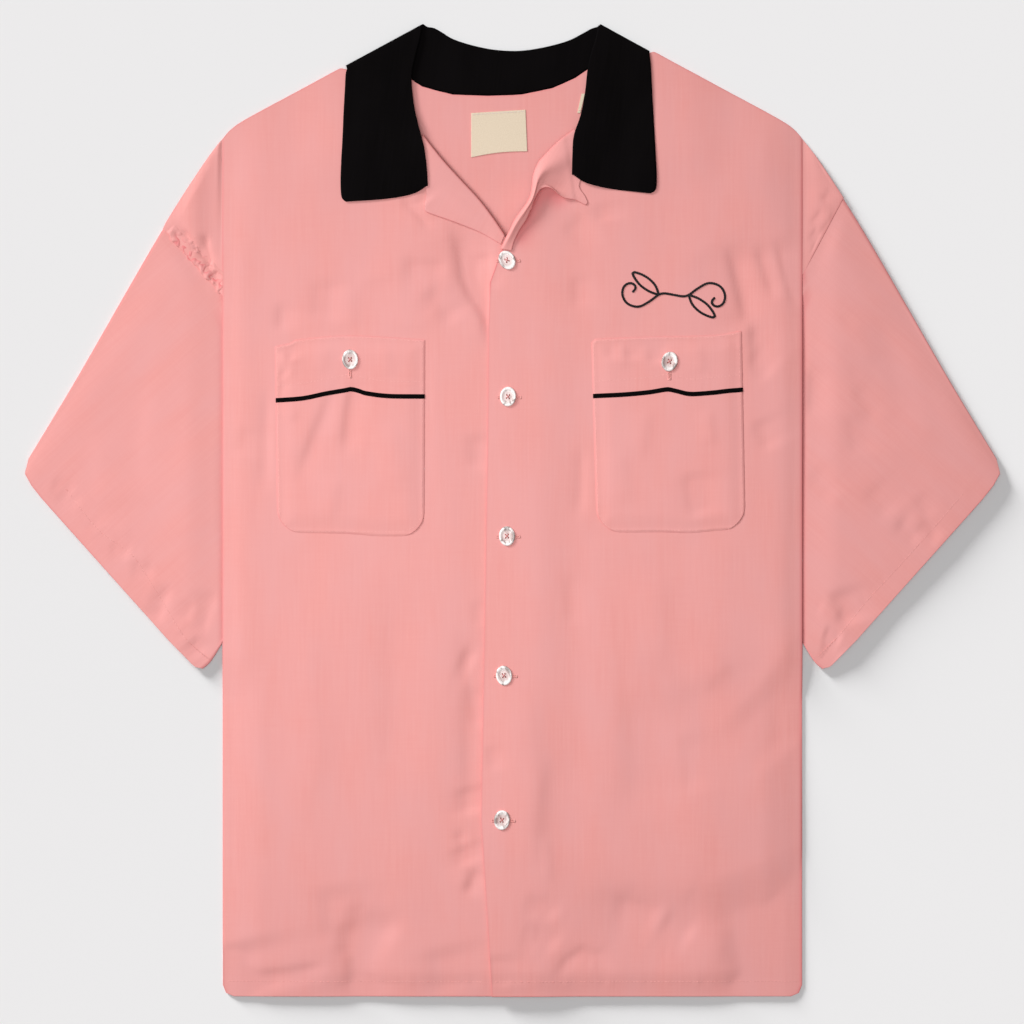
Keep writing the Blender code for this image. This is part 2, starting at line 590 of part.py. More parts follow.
def button_mesh():
    """A turned disc with a raised rim and four holes, made oval."""
    radius = BUTTON_HEIGHT / 2
    rim = radius * 0.74
    profile = [
        (0.0, 0.0), (radius * 0.72, 0.0), (radius, BUTTON_THICK / 2), (radius * 0.9, BUTTON_THICK),
        (rim, BUTTON_THICK - 0.2), (rim * 0.72, BUTTON_MIDDLE), (0.0, BUTTON_MIDDLE),
    ]
    bm = bmesh.new()
    verts = [bm.verts.new((x * MM, 0, z * MM)) for x, z in profile]
    for a, b in zip(verts, verts[1:]):
        bm.edges.new((a, b))
    mesh = bpy.data.meshes.new("button_profile")
    bm.to_mesh(mesh)
    bm.free()
    disc = bpy.data.objects.new("button_disc", mesh)
    bpy.context.scene.collection.objects.link(disc)
    screw = disc.modifiers.new("turn", "SCREW")
    screw.steps = screw.render_steps = 20
    screw.use_merge_vertices = True
    screw.merge_threshold = 0.00005
    screw.use_smooth_shade = False
    holes = []
    for i in range(4):
        angle = math.radians(45 + 90 * i)
        bpy.ops.mesh.primitive_cylinder_add(
            vertices=6, radius=BUTTON_HOLE / 2 * MM, depth=4 * BUTTON_THICK * MM,
            location=(math.cos(angle) * BUTTON_HOLE_OFF * MM, math.sin(angle) * BUTTON_HOLE_OFF * MM, 0),
        )
        holes.append(bpy.context.object)
        cut = disc.modifiers.new("hole", "BOOLEAN")
        cut.operation = "DIFFERENCE"
        cut.object = holes[-1]
    bpy.context.view_layer.update()
    made = bpy.data.meshes.new_from_object(disc.evaluated_get(bpy.context.evaluated_depsgraph_get()))
    for obj in [disc, *holes]:
        bpy.data.objects.remove(obj)
    bm = bmesh.new()
    bm.from_mesh(made)
    bmesh.ops.scale(bm, vec=(BUTTON_WIDTH / BUTTON_HEIGHT, 1, 1), verts=bm.verts)
    bmesh.ops.recalc_face_normals(bm, faces=bm.faces)
    bm.to_mesh(made)
    bm.free()
    return made


def buttons(mat, shirt):
    mesh = button_mesh()
    mesh.materials.clear()
    mesh.materials.append(mat)
    rest = WALL / 2 + SEAM_GAP
    places = []
    for i, (x, y) in enumerate(FRONT_BUTTONS):
        places.append((f"button_front_{i + 1}", x, y, over_front_z(x, y) + rest))
    for name, (x, y) in POCKET_BUTTONS.items():
        places.append((f"button_pocket_{name}", x, y, front_z(x, y) + PLY + rest))
    for name, x, y, z in places:
        obj = bpy.data.objects.new(name, mesh)
        shirt.collection.objects.link(obj)
        obj.parent = shirt.frame
        obj.location = (x * MM, y * MM, float(z) * MM)



class Shirt:
    """The collection and the empty that every piece goes under."""

    def __init__(self):
        self.collection = bpy.data.collections.new("bowling_shirt")
        bpy.context.scene.collection.children.link(self.collection)
        self.frame = bpy.data.objects.new("shirt_frame", None)
        self.frame.location = (0, -GARMENT_HEIGHT / 2 * MM, 0)
        self.collection.objects.link(self.frame)


def main():
    for obj in list(bpy.data.objects):
        bpy.data.objects.remove(obj)
    shirt = Shirt()
    pink = material("pink_rayon", (0.87, 0.38, 0.36), 0.75)
    black = material("black_rayon", (0.006, 0.005, 0.006), 0.8)
    pearl = material("pearl", (0.86, 0.83, 0.8), 0.25)
    tape = material("label_tape", (0.74, 0.68, 0.54), 0.85)
    back_panel(pink, shirt)
    front("front_right", -1, UNDER_EDGE, front_z, pink, shirt)
    front("front_left", 1, OVER_EDGE, over_front_z, pink, shirt)
    sleeve("sleeve_right", -1, pink, shirt)
    sleeve("sleeve_left", 1, pink, shirt)
    collar(black, shirt)
    revere("revere_right", RIGHT_REVERE_ROLL, RIGHT_REVERE_FREE, RIGHT_GORGE, front_z, pink, shirt)
    revere(
        "revere_left", LEFT_REVERE_ROLL, LEFT_REVERE_FREE, LEFT_GORGE, over_front_z, pink, shirt,
        LEFT_REVERE_LIFT,
    )
    pocket("right", front_z, pink, black, shirt)
    pocket("left", over_front_z, pink, black, shirt)
    flat_piece("neck_label", LABEL, back_z, tape, shirt)
    flat_piece("care_tag", TAG, back_z, tape, shirt)
    buttons(pearl, shirt)


main()
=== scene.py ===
import math
import bmesh
import bpy
import numpy as np
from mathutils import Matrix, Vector


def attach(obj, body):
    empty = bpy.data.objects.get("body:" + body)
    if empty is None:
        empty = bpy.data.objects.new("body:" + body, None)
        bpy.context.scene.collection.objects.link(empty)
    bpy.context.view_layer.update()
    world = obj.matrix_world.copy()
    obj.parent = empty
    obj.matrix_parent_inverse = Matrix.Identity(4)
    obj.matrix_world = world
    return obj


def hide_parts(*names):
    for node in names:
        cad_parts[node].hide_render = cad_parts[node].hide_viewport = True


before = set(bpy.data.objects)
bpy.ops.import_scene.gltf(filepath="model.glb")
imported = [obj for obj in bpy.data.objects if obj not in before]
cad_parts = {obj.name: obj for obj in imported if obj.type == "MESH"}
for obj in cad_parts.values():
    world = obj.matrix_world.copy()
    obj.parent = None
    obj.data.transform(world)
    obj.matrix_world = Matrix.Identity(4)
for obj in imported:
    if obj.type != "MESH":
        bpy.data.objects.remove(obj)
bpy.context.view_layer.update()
print("frame loaded")

# Sizes are in millimetres: x across the shirt, y up from the hem, z up from the table
mm = 0.001
hemToMiddle = 388.4  # the frame's origin lies this far above the hem
cloth = {
    "wall": 0.5,
    "ply": 1.45,  # from one layer's middle to the next
    "gap": 0.3,  # between sewn edges
    "sewnOn": 0.52,  # from a layer's middle to that of a piece sewn on it
    "lowest": 0.08,  # what the back stands off the table, clear of the stitches under it
    "edge": 0.8,  # how far painted shade reaches in from a turned edge or seam
}
tableMiddle = cloth["wall"] / 2 + cloth["lowest"]
ply = cloth["ply"]


def smooth(t):
    t = np.clip(t, 0.0, 1.0)
    return t * t * (3 - 2 * t)


def between(x, low, high, rise, fall):
    # one from low to high, easing in over the rise and out over the fall
    return smooth((x - low) / rise) * smooth((high - x) / fall)


def bell(distance, width):
    return np.exp(-((distance / width) ** 2))


def unit(v):
    return v / np.linalg.norm(v)


def leftOf(way):
    return np.array([-way[1], way[0]])


def softMax(a, b, blend=0.25):
    return 0.5 * (a + b + np.sqrt((a - b) ** 2 + blend**2))


def turnedDown(fromEdge, width):
    # how much of its drop a turned edge has made, as a quarter of a circle
    near = np.clip(1 - fromEdge / width, 0, 1)
    return 1 - np.sqrt(1 - near**2 * 0.98)


def fineLine(points, steps=12):
    # a Catmull-Rom curve through the points
    p = np.array([points[0], *points, points[-1]], float)
    out = []
    for i in range(1, len(p) - 2):
        a, b, c, d = p[i - 1], p[i], p[i + 1], p[i + 2]
        for t in np.arange(steps) / steps:
            square = (2 * a - 5 * b + 4 * c - d) * t**2
            out.append(0.5 * (2 * b + (c - a) * t + square + (3 * b - a - 3 * c + d) * t**3))
    out.append(p[-2])
    return np.array(out)


def refine(rows, steps):
    # the same surface through the same points, in finer steps both ways
    return np.swapaxes(fineLine(np.swapaxes(fineLine(rows, steps), 0, 1), steps), 0, 1)


def runAlong(line):
    return np.concatenate([[0], np.cumsum(np.linalg.norm(np.diff(line, axis=0), axis=1))])


def fractions(line):
    run = runAlong(line)
    return run / run[-1]


def along(line, at):
    line = np.array(line, float)
    run = fractions(line)
    return np.stack([np.interp(at, run, line[:, k]) for k in range(line.shape[1])], axis=-1)


def atHeights(line, heights):
    line = np.array(line, float)
    return np.stack([np.interp(heights, line[:, 1], line[:, 0]), heights], axis=-1)


def patch(bottom, top, left, right, s, t):
    # a Coons patch: each row runs along s from left to right
    s, t = np.array(s)[None, :, None], np.array(t)[:, None, None]
    low = (1 - s) * (1 - t) * bottom[0] + s * (1 - t) * bottom[-1]
    high = (1 - s) * t * top[0] + s * t * top[-1]
    return (1 - t) * bottom[None] + t * top[None] + (1 - s) * left[:, None] + s * right[:, None] - low - high


def withZ(grid, z):
    return np.concatenate([grid, z[..., None]], axis=-1)


def raised(grid, zOf):
    return withZ(grid, zOf(grid[..., 0], grid[..., 1]))


def edgeDistance(rows, sides="lrbt"):
    # how far each point of a grid lies from the chosen edges
    edges = {"l": rows[:, :1], "r": rows[:, -1:], "b": rows[:1], "t": rows[-1:]}
    return np.min([np.linalg.norm((rows - edges[k])[..., :2], axis=-1) for k in sides], axis=0)


def paintedEdgeShade(rows, sides="lrbt", width=cloth["edge"]):
    # painted shade near the chosen edges, where a turned edge or seam lies in shade
    return bell(edgeDistance(rows, sides), width)


def offLine(x, y, points, leaning=(0.0, 0.0)):
    # distance from a polyline, length along it, its whole length, and how far to the leaning side
    points = np.array(points, float)
    best, way, run, aside = np.full(np.broadcast(x, y).shape, 1e9), 0.0, 0.0, 0.0
    for a, b in zip(points, points[1:]):
        d = b - a
        length = math.hypot(*d)
        t = np.clip(((x - a[0]) * d[0] + (y - a[1]) * d[1]) / length**2, 0, 1)
        offX, offY = x - a[0] - t * d[0], y - a[1] - t * d[1]
        off = np.hypot(offX, offY)
        way = np.where(off < best, run + t * length, way)
        aside = np.where(off < best, offX * leaning[0] + offY * leaning[1], aside)
        best = np.minimum(best, off)
        run += length
    return best, way, run, aside


def creases(x, y, table):
    # rows of half width, height (below zero for a trough) and points; both ends die away. The folds lean
    # the way the cloth was drawn, down and to the wearer's left: that flank of a trough is the longer one
    x, y = x + 0.9 * np.sin(y / 17.0), y + 0.9 * np.sin(x / 14.0)
    z = np.zeros(np.broadcast(x, y).shape)
    for halfWidth, height, *points in table:
        off, way, whole, aside = offLine(x, y, points, (0.8, -0.6))
        ends = smooth(0.1 + 3.0 * way / whole) * smooth(0.1 + 3.0 * (1 - way / whole))
        trough = height < 0
        side = smooth(0.5 + (1 if trough else -1) * aside / halfWidth / 2)
        spread = off / (halfWidth * (1.15 + 1.35 * side))
        full = height * (1.35 if trough else 0.7) * (1.1 + 1.2 * float(smooth((halfWidth - 2) / 8)))
        z += full * ends * (0.7 * bell(spread, 1) + 0.3 * bell(spread, 1.9))
    return z


def puckers(x, y, table):
    # rows of half width, height, spacing and the seam's points: the cloth gathers a little along a seam
    z = np.zeros(np.broadcast(x, y).shape)
    for halfWidth, height, spacing, *points in table:
        off, way, *_ = offLine(x, y, points)
        turn = 2 * math.pi * (way + 0.35 * off) / spacing
        wave = np.sin(turn + 1.9 * np.sin(turn / 3.3)) * (0.62 + 0.38 * np.sin(turn / 4.7 + 1))
        z += height * bell(off, halfWidth) * (wave - 0.25)
    return z


def drape(x, y, strength):
    # the long, faint waves of cloth that was pressed and then laid down
    z = 0.55 * np.sin(x / 13.1 + 0.9 * np.sin(y / 71) + 0.4) + 0.5 * np.sin(x / 21.7 - y / 190 + 1.1)
    z += 0.45 * np.sin(y / 37 + x / 58 + 2.0) + 0.3 * np.sin(x / 7.3 + y / 150) * np.sin(y / 53 + 0.7)
    return strength * z * (0.1 + 0.9 * smooth(y / 130))


# The shirt's outline, the same as its solids

outline = {
    "bodyHalf": 231.6,  # centre line to the side fold
    "hemCorner": 9.0,
    "topEdge": [
        (71.0, 775.0), (84.4, 770.4), (131.6, 744.8), (179.6, 719.2), (213.0, 701.0), (224.4, 693.4),
        (232.2, 684.8), (244.4, 668.8), (265.6, 636.8), (285.2, 604.8), (312.8, 556.8), (349.2, 492.8),
        (386.6, 430.0),
    ],
    "cuff": [(389.6, 418.0), (384.0, 408.0), (375.2, 397.0), (274.8, 284.8), (254.0, 263.5)],
    "underarm": [(232.4, 282.0), (241.0, 268.0), (247.5, 262.0)],
    "armhole": {-1: [(279.4, 613.4), (231.6, 560.0)], 1: [(264.6, 638.3), (231.6, 576.0)]},
    "sleeveTuck": 9.0,
    "collarInset": 4.6,
    "collarReach": {-1: 138.0, 1: 114.0},
    "neckReach": 688.0,
    "fallReach": 684.0,
    "backInset": 2.2,  # of the back's sides under the fronts, below the sleeves
    "rollInset": 2.4,  # of a front's edge under the revere's roll
}
bodyHalf, corner = outline["bodyHalf"], outline["hemCorner"]
cornerSteps = [corner * 0.29, corner]  # the hem's corner is rounded through these heights
hemRound = [(bodyHalf - corner, 0.0), (bodyHalf - cornerSteps[0], cornerSteps[0]), (bodyHalf, corner)]
# The fronts' edges from the hem up: the one underneath, and the one on top
underEdge = [(14.0, 0.0), (14.0, 560.0), (4.0, 596.0), (-6.0, 608.0), (-34.0, 643.0), (-67.8, 682.4)]
overEdge = [
    (-16.4, 0.0), (-23.6, 116.8), (-25.2, 141.6), (-22.4, 300.8), (-20.0, 448.0), (-19.2, 532.8),
    (-18.0, 570.4), (-6.8, 600.8), (13.0, 629.6), (19.6, 663.2), (28.4, 674.7), (47.0, 686.6),
]

# Collar stations from the front end to the centre back: turn about the shoulder fold, neck seam, roll,
# outer edge, and how far the fall bows down
rightCollar = [
    (0, (-71.5, 648.5), (-67.6, 647.2), (-133.0, 634.8), 4.4),
    (0, (-72.0, 651.5), (-67.8, 650.5), (-136.4, 638.6), 3.0),
    (0, (-74.0, 662.0), (-68.4, 661.0), (-137.2, 651.0), 0),
    (0, (-79.0, 679.0), (-70.2, 676.0), (-136.6, 668.0), 0),
    (0, (-82.8, 689.0), (-72.4, 685.5), (-136.0, 678.5), 0),
    (0, (-86.4, 700.0), (-75.4, 697.0), (-135.4, 691.0), 0),
    (0, (-90.0, 716.0), (-78.6, 712.0), (-134.8, 706.0), 0),
    (0, (-93.0, 733.0), (-80.6, 735.0), (-133.8, 724.0), 0),
    (0, (-95.0, 746.0), (-77.4, 752.0), (-133.2, 736.0), 0),
    (0, (-96.0, 755.0), (-74.0, 766.0), (-132.2, 740.8), 0),
    (45, (-96.0, 757.6), (-72.0, 773.4), (-132.0, 741.6), 0),
    (90, (-96.0, 758.6), (-70.5, 775.0), (-132.0, 741.8), 0),
    (135, (-95.6, 757.6), (-68.8, 774.4), (-131.8, 741.4), 0),
    (180, (-95.0, 754.0), (-67.4, 774.2), (-131.6, 739.6), 0),
    (180, (-91.0, 745.0), (-63.0, 773.2), (-130.6, 728.0), 0),
    (180, (-84.0, 736.0), (-57.0, 769.8), (-120.0, 706.0), 0),
    (180, (-72.0, 727.6), (-47.6, 764.2), (-100.0, 693.0), 0),
    (180, (-47.6, 721.2), (-31.0, 759.0), (-62.0, 683.5), 0),
    (180, (-20.0, 720.2), (-13.0, 755.8), (-24.0, 680.0), 0),
]
leftCollar = [
    (0, (51.3, 657.4), (47.4, 656.2), (110.0, 641.4), 4.4),
    (0, (51.8, 660.5), (47.5, 659.6), (114.4, 645.0), 3.0),
    (0, (54.4, 672.0), (47.8, 671.0), (115.0, 657.0), 0),
    (0, (58.0, 689.0), (48.9, 687.0), (114.0, 676.0), 0),
    (0, (66.0, 706.0), (54.4, 704.0), (113.0, 696.0), 0),
    (0, (74.0, 723.0), (57.8, 722.0), (111.8, 716.0), 0),
    (0, (83.0, 739.0), (60.4, 742.4), (110.8, 736.0), 0),
    (0, (88.0, 748.0), (63.4, 755.0), (110.2, 746.0), 0),
    (0, (93.0, 756.0), (66.4, 764.0), (109.4, 752.0), 0),
    (45, (95.0, 758.4), (68.0, 773.0), (108.6, 753.2), 0),
    (90, (95.4, 759.2), (69.0, 775.0), (108.4, 753.4), 0),
    (135, (94.6, 758.6), (68.6, 774.4), (108.3, 753.0), 0),
    (180, (91.0, 757.6), (67.4, 774.4), (108.2, 751.0), 0),
    (180, (80.0, 752.6), (63.0, 773.0), (106.8, 738.0), 0),
    (180, (66.0, 745.4), (57.0, 769.8), (100.0, 716.0), 0),
    (180, (50.0, 734.4), (44.0, 763.2), (84.0, 700.0), 0),
    (180, (32.0, 726.4), (25.0, 758.0), (54.0, 687.0), 0),
    (180, (8.0, 721.4), (6.0, 755.2), (14.0, 680.5), 0),
]
collarStations = {-1: rightCollar, 1: leftCollar}
shoulderFold = tableMiddle + 1.5 * ply  # height that the collar turns about


def shoulderLine(side, low, high):
    # from x low to x high; it steps in where the collar folds over it
    line = along(fineLine(outline["topEdge"]), np.linspace(0, 1, 240))
    step = outline["collarInset"] * smooth((outline["collarReach"][side] - line[:, 0]) / 6)
    line = line - step[:, None] * np.array([0.47, 0.88])
    return line[(line[:, 0] > low) & (line[:, 0] < high)]


def neckEdge(side, turn, lowest=0.0):
    points = []
    for at, seam, roll, *_ in collarStations[side]:
        if at == turn and seam[1] > lowest:
            points.append(np.array(seam) + unit(np.array(seam) - np.array(roll)) * cloth["gap"] * 1.5)
    return np.array(points)


# Folds of the cloth, each as half width, height and points

frontFolds = {
    "under": [
        (4.0, -1.8, (-49, 620), (-44, 604), (-39, 590), (-37, 577), (-32, 566), (-25, 555), (-19, 543),
         (-16, 512)),
        (12.0, -0.35, (-54, 608), (-42, 568), (-26, 530)),
        (14.0, -0.8, (-226, 44), (-214, -6)),
        (8.0, -0.6, (-40, 300), (-30, 250), (-33, 190), (-30, 140)),
        (8.0, 0.5, (-58, 600), (-56, 580), (-47, 562), (-36, 548)),
        (5.0, -0.7, (-69, 566), (-57, 556), (-44, 538)),
        (5.0, -0.75, (-90, 584), (-70, 583), (-50, 582)),
        (3.5, 0.4, (-126, 569), (-90, 579)),
        (3.0, -0.8, (-38, 587), (-24, 588), (-10, 586)),
        (5.0, -0.35, (-152, 575), (-154, 539)),
        (4.0, -0.3, (-143, 577), (-146, 533)),
        (6.0, 0.4, (-130, 570), (-131, 530)),
        (3.6, -0.7, (-182, 556), (-186, 518)),
        (5.0, -0.4, (-192, 492), (-196, 429), (-202, 396)),
        (5.0, -0.35, (-209, 455), (-217, 431)),
        (6.0, -0.45, (-28, 450), (-27, 418)),
        (3.5, -0.35, (-28, 316), (-28, 294)),
        (5.0, -0.5, (-42, 272), (-30, 267)),
        (4.0, -0.45, (-30, 248), (-27, 212)),
        (6.5, -0.5, (-38, 168), (-33, 144)),
        (3.0, -0.5, (-46, 126), (-35, 130)),
        (6.0, -0.45, (-42, 120), (-36, 104)),
        (2.8, -0.8, (-38, 80), (-33, 92), (-27, 102)),
        (3.0, 0.5, (-42, 84), (-36, 97)),
        (10.0, -0.4, (-144, 92), (-140, 40)),
        (7.0, -0.6, (-136, 68), (-116, 60), (-90, 46)),
        (3.4, -0.85, (-206, 14), (-176, 19), (-146, 26)),
        (9.0, -1.0, (-134, 60), (-123, 34), (-120, -14)),
        (11.0, -0.4, (-58, 42), (-50, -2)),
        (5.0, -0.8, (-215, 24), (-217, -6)),
        (2.2, -0.9, (-89, 638), (-77.5, 628), (-71, 620.5), (-68, 613)),
        (4.0, 0.8, (-82, 639), (-72, 629), (-65, 618)),
        (3.5, -0.7, (-76, 640), (-71, 633)),
        (10.0, 0.35, (-170, 330), (-160, 200), (-172, 120)),
        (12.0, -0.3, (-95, 340), (-90, 240), (-96, 160)),
    ],
    "over": [
        (3.8, -1.0, (172, 602), (179, 582), (184, 564), (189, 536)),
        (7.0, 0.4, (166, 590), (172, 562), (182, 535)),
        (3.2, -0.75, (195, 604), (202, 584), (212, 556)),
        (3.2, -0.85, (210, 608), (218, 584), (229, 550)),
        (5.0, -0.45, (188, 515), (207, 497)),
        (5.0, -0.45, (197, 463), (209, 437)),
        (4.0, -0.4, (52, 576), (54, 549)),
        (6.0, -0.4, (60, 441), (53, 379)),
        (8.0, 0.35, (114, 345), (115, 256)),
        (7.0, 0.5, (148, 243), (172, 271)),
        (7.0, 0.4, (190, 245), (230, 298)),
        (16.0, -0.35, (184, 236), (202, 218), (222, 196)),
        (20.0, -0.5, (124, 214), (166, 238), (222, 268)),
        (17.0, -1.15, (170, 98), (184, 62), (193, 26), (196, -30)),
        (10.0, -0.6, (212, 84), (218, 40), (214, 4)),
        (14.0, -0.7, (50, 66), (92, 70), (134, 62), (170, 44)),
        (12.0, -0.5, (150, 596), (176, 560), (210, 505)),
        (8.0, -0.5, (206, 60), (224, 18)),
        (9.0, 0.5, (8, 262), (12, 190), (10, 100)),
        (4.0, 0.5, (23, 198), (19, 146), (16, 96)),
        (7.0, -0.2, (33, 198), (34, 108)),
        (2.2, 0.5, (28, 132), (29, 90)),
        (3.0, -0.3, (46, 340), (46, 293)),
        (6.0, -0.3, (140, 212), (144, 160)),
        (4.0, -0.55, (8, 78), (22, 74), (36, 64)),
        (4.6, -0.6, (8, 56), (24, 50), (38, 40)),
        (2.6, -0.6, (32, 12), (44, 29), (56, 36), (68, 32), (82, 18)),
        (5.0, -0.55, (78, 75), (100, 71), (120, 64)),
        (5.0, -0.5, (118, 63), (146, 47)),
        (6.0, -0.4, (42, 607), (60, 622)),
        (5.0, -0.35, (71, 633), (74, 618)),
        (10.0, 0.35, (70, 330), (78, 220), (72, 120)),
        (11.0, -0.3, (100, 250), (104, 140)),
        (6.0, -0.5, (-12, 34), (-8, 6)),
        (3.0, -0.4, (-19, 200), (-15, 180)),
        (2.2, -1.1, (-19.5, 566), (-12, 583)),
    ],
    "back": [
        (9.0, 0.3, (-150, 60), (-120, 180), (-136, 330)),
        (7.0, 0.25, (60, 40), (84, 150), (70, 260)),
        (10.0, 0.3, (-40, 420), (-10, 520), (-30, 600)),
        (8.0, 0.25, (150, 300), (136, 430), (160, 540)),
        (6.0, 0.3, (-200, 30), (-150, 44), (-90, 34)),
        (6.0, 0.28, (96, 28), (150, 40), (198, 30)),
    ],
}
sleeveFolds = {
    -1: [
        (8.0, 0.6, (331, 450), (325, 418), (322, 386)),
        (3.0, -0.8, (368, 412), (348, 405)),
        (2.6, -0.7, (364, 402), (344, 396)),
        (3.0, 0.5, (372, 407), (352, 401)),
        (2.4, 0.6, (330, 376), (318, 371), (303, 369)),
        (2.6, -0.6, (323, 358), (305, 356)),
        (2.6, 0.6, (314, 351), (290, 349)),
        (2.8, -0.6, (306, 344), (286, 340)),
        (4.0, -1.1, (275, 331), (286, 298)),
        (4.0, 0.6, (284, 334), (294, 306)),
        (3.0, -0.6, (256, 316), (261, 299)),
        (4.0, -0.9, (240, 324), (249, 287)),
        (5.0, -0.7, (256, 285), (248, 272)),
        (4.0, 0.5, (250, 318), (256, 292)),
        (9.0, 0.35, (282, 560), (276, 500), (290, 440)),
        (10.0, -0.35, (300, 500), (306, 440), (300, 400)),
        (12.0, 0.3, (250, 460), (262, 400), (258, 350)),
    ],
    1: [
        (5.0, -0.6, (241, 505), (240, 461)),
        (6.0, 0.45, (268, 540), (286, 503)),
        (4.0, -0.45, (274, 490), (293, 461)),
        (6.0, -0.4, (273, 468), (278, 432)),
        (5.0, -0.45, (283, 409), (303, 384)),
        (5.0, -0.35, (238, 420), (257, 396)),
        (3.0, -0.8, (306, 380), (326, 363)),
        (3.0, -0.8, (324, 377), (342, 364)),
        (3.0, 0.6, (314, 383), (334, 368)),
        (3.0, -0.45, (322, 399), (334, 382)),
        (6.0, -0.9, (259, 326), (270, 296)),
        (2.8, 0.7, (244, 311), (262, 303)),
        (3.0, -0.8, (247, 291), (263, 286)),
        (3.0, -0.6, (246, 280), (264, 271)),
        (7.0, 0.4, (252, 560), (262, 500), (276, 430)),
        (9.0, 0.35, (312, 520), (326, 460), (330, 420)),
        (11.0, -0.3, (296, 560), (310, 500), (318, 450)),
    ],
}
capFolds = {
    -1: [
        (2.2, -0.7, (271, 620), (258, 607), (245, 594), (234, 584)),
        (2.0, 0.7, (268, 611), (254, 597), (240, 580)),
        (1.8, -0.9, (244, 609), (243, 594), (241, 586)), (1.5, -0.8, (262, 612), (255, 602)),
        (1.5, -0.8, (255, 604), (252, 594)), (1.5, -0.8, (250, 599), (246, 587)),
        (1.5, -0.9, (241, 590), (244, 579)),
        (1.5, -0.8, (237, 580), (239, 569)), (1.5, -0.8, (234, 576), (235, 564)),
    ],
    1: [
        (2.4, -0.6, (236, 614), (248, 628)), (2.0, -0.6, (235, 602), (244, 614)),
        (2.4, 0.6, (240, 608), (255, 628)), (2.0, -0.5, (247, 634), (256, 645)),
        (2.0, -0.5, (238, 592), (244, 601)), (8.0, -0.2, (242, 670), (240, 640)),
    ],
}
hemY = 12.0  # from the folded edge to the line of stitches
cuffStitch = {
    -1: [(357, 406), (330, 372), (304, 353), (283, 321), (261, 286), (243, 270)],
    1: [(360, 402), (334, 372), (306, 341), (283, 316), (262, 290), (244, 272)],
}
seamPuckers = {
    "hem": [(5.0, 0.16, 8.0, (-228, hemY), (228, hemY))],
    -1: [(6.0, 0.3, 6.0, (278, 612), (232, 560)), (6.0, 0.2, 8.0, *cuffStitch[-1])],
    1: [(6.0, 0.26, 6.0, (264, 636), (232, 574)), (6.0, 0.18, 8.0, *cuffStitch[1])],
}


# Heights are those of the middle of each layer's wall

frontLook = {
    "loft": 2.6,  # what the fronts stand off the back, except at the edges
    "waves": 0.24,
    "underPocket": {-1: (-197, -60, 352, 540), 1: (54, 194, 356, 542)},  # left, right, low, high
    "onSleeve": (236, 688, 40, 110),  # low and high beside the side fold, with the way up and down
    "underarm": 222, "capFrom": 548,  # heights at which the side fold comes onto the sleeve and the cap
    "drop": 0.9,  # how far the side fold turns down on the sleeve
    "onCap": {-1: 0.4, 1: 0.95},  # and on the shoulder's cap
    "turn": (3.6, 15),  # widths of its sharp turn and of the soft one
    # the line under the standing revere's free edge, along which shade is painted
    "underRevere": [(6, 608), (16, 632), (26, 642), (36, 638)],
    "cell": 2.7,  # between the points of the grid
    # painted shade at the side folds, as depth and reach; the one turned from the light is painted deeper
    "foldShade": {-1: (0.9, 1.2), 1: (1.5, 1.9)},
}


def backZ(x, y):
    # on the table, and at the neck on the collar's fall
    overFall = smooth((y - outline["fallReach"] + 44) / 40) * smooth((180 - np.abs(x)) / 42)
    return tableMiddle + ply * overFall


def loft(x, y):
    return frontLook["loft"] * smooth((bodyHalf - np.abs(x)) / 34) * between(y, -2, 735, 24, 90)


def frontFlat(x, y):
    # over the back, and beside its fold over the sleeve's inner end too
    besideFold = smooth((np.abs(x) - 198) / 22)
    return backZ(x, y) + ply + ply * besideFold * between(y, *frontLook["onSleeve"]) + loft(x, y)


def sideRoll(x, y, side):
    # the front turns down at the side fold, onto the table, the sleeve and, above those, the cap
    drop, fromFold = frontLook["drop"], bodyHalf - np.abs(x)
    onSleeve = smooth((y - frontLook["underarm"]) / 30)
    onCap = (frontLook["onCap"][side] - drop) * smooth((y - frontLook["capFrom"]) / 30)
    depth = ply * (1 - onSleeve) + (drop + onCap) * onSleeve
    sharp, soft = frontLook["turn"]
    return depth * (0.6 * turnedDown(fromFold, sharp) + 0.4 * smooth(1 - fromFold / soft))


def keptFolds(x, y, side):
    # how much is left of the folds: none under the pocket, where the front lies flat, and less at the hem
    left, right, low, high = frontLook["underPocket"][side]
    under = between(y, low, high, 14, 12) * between(x, left, right, 8, 8)
    return (1 - under) * smooth((700 - y) / 60) * (0.5 + 0.5 * smooth(y / 12))


def frontZ(x, y):
    folds = creases(x, y, frontFolds["under"]) + puckers(x, y, seamPuckers["hem"])
    folds = folds * smooth((-12 - x) / 8) + drape(x, y, frontLook["waves"]) * smooth((-14 - x) / 10)
    flat = frontFlat(x, y)
    z = softMax(flat + folds * keptFolds(x, y, -1), flat - loft(x, y) - 0.8)
    return np.maximum(z - sideRoll(x, y, -1), tableMiddle + 0.1)


def overFrontZ(x, y):
    overOther = smooth((58 - x) / 40) * smooth((640 - y) / 30)
    folds = creases(x, y, frontFolds["over"]) + puckers(x, y, seamPuckers["hem"])
    folds = (folds + drape(x + 17, y + 40, frontLook["waves"])) * smooth((x + 30) / 10)
    flat = frontFlat(x, y) + ply * overOther
    z = flat + folds * keptFolds(x, y, 1)
    z = softMax(z, flat - loft(x, y) * smooth((x - 16) / 10) - 0.75)
    return np.maximum(z - sideRoll(x, y, 1), tableMiddle + 0.1)


fall = {
    "reach": (112.0, 88.0),  # how far out it lies on a revere, at either side
    "onRevere": (638, 709),  # and from which height to which
    "pressed": 0.85,  # its middle over the front's at its end; at the neck it is a whole ply
    "over": 1.75,  # what a revere under it adds
    "waves": 0.16,
}


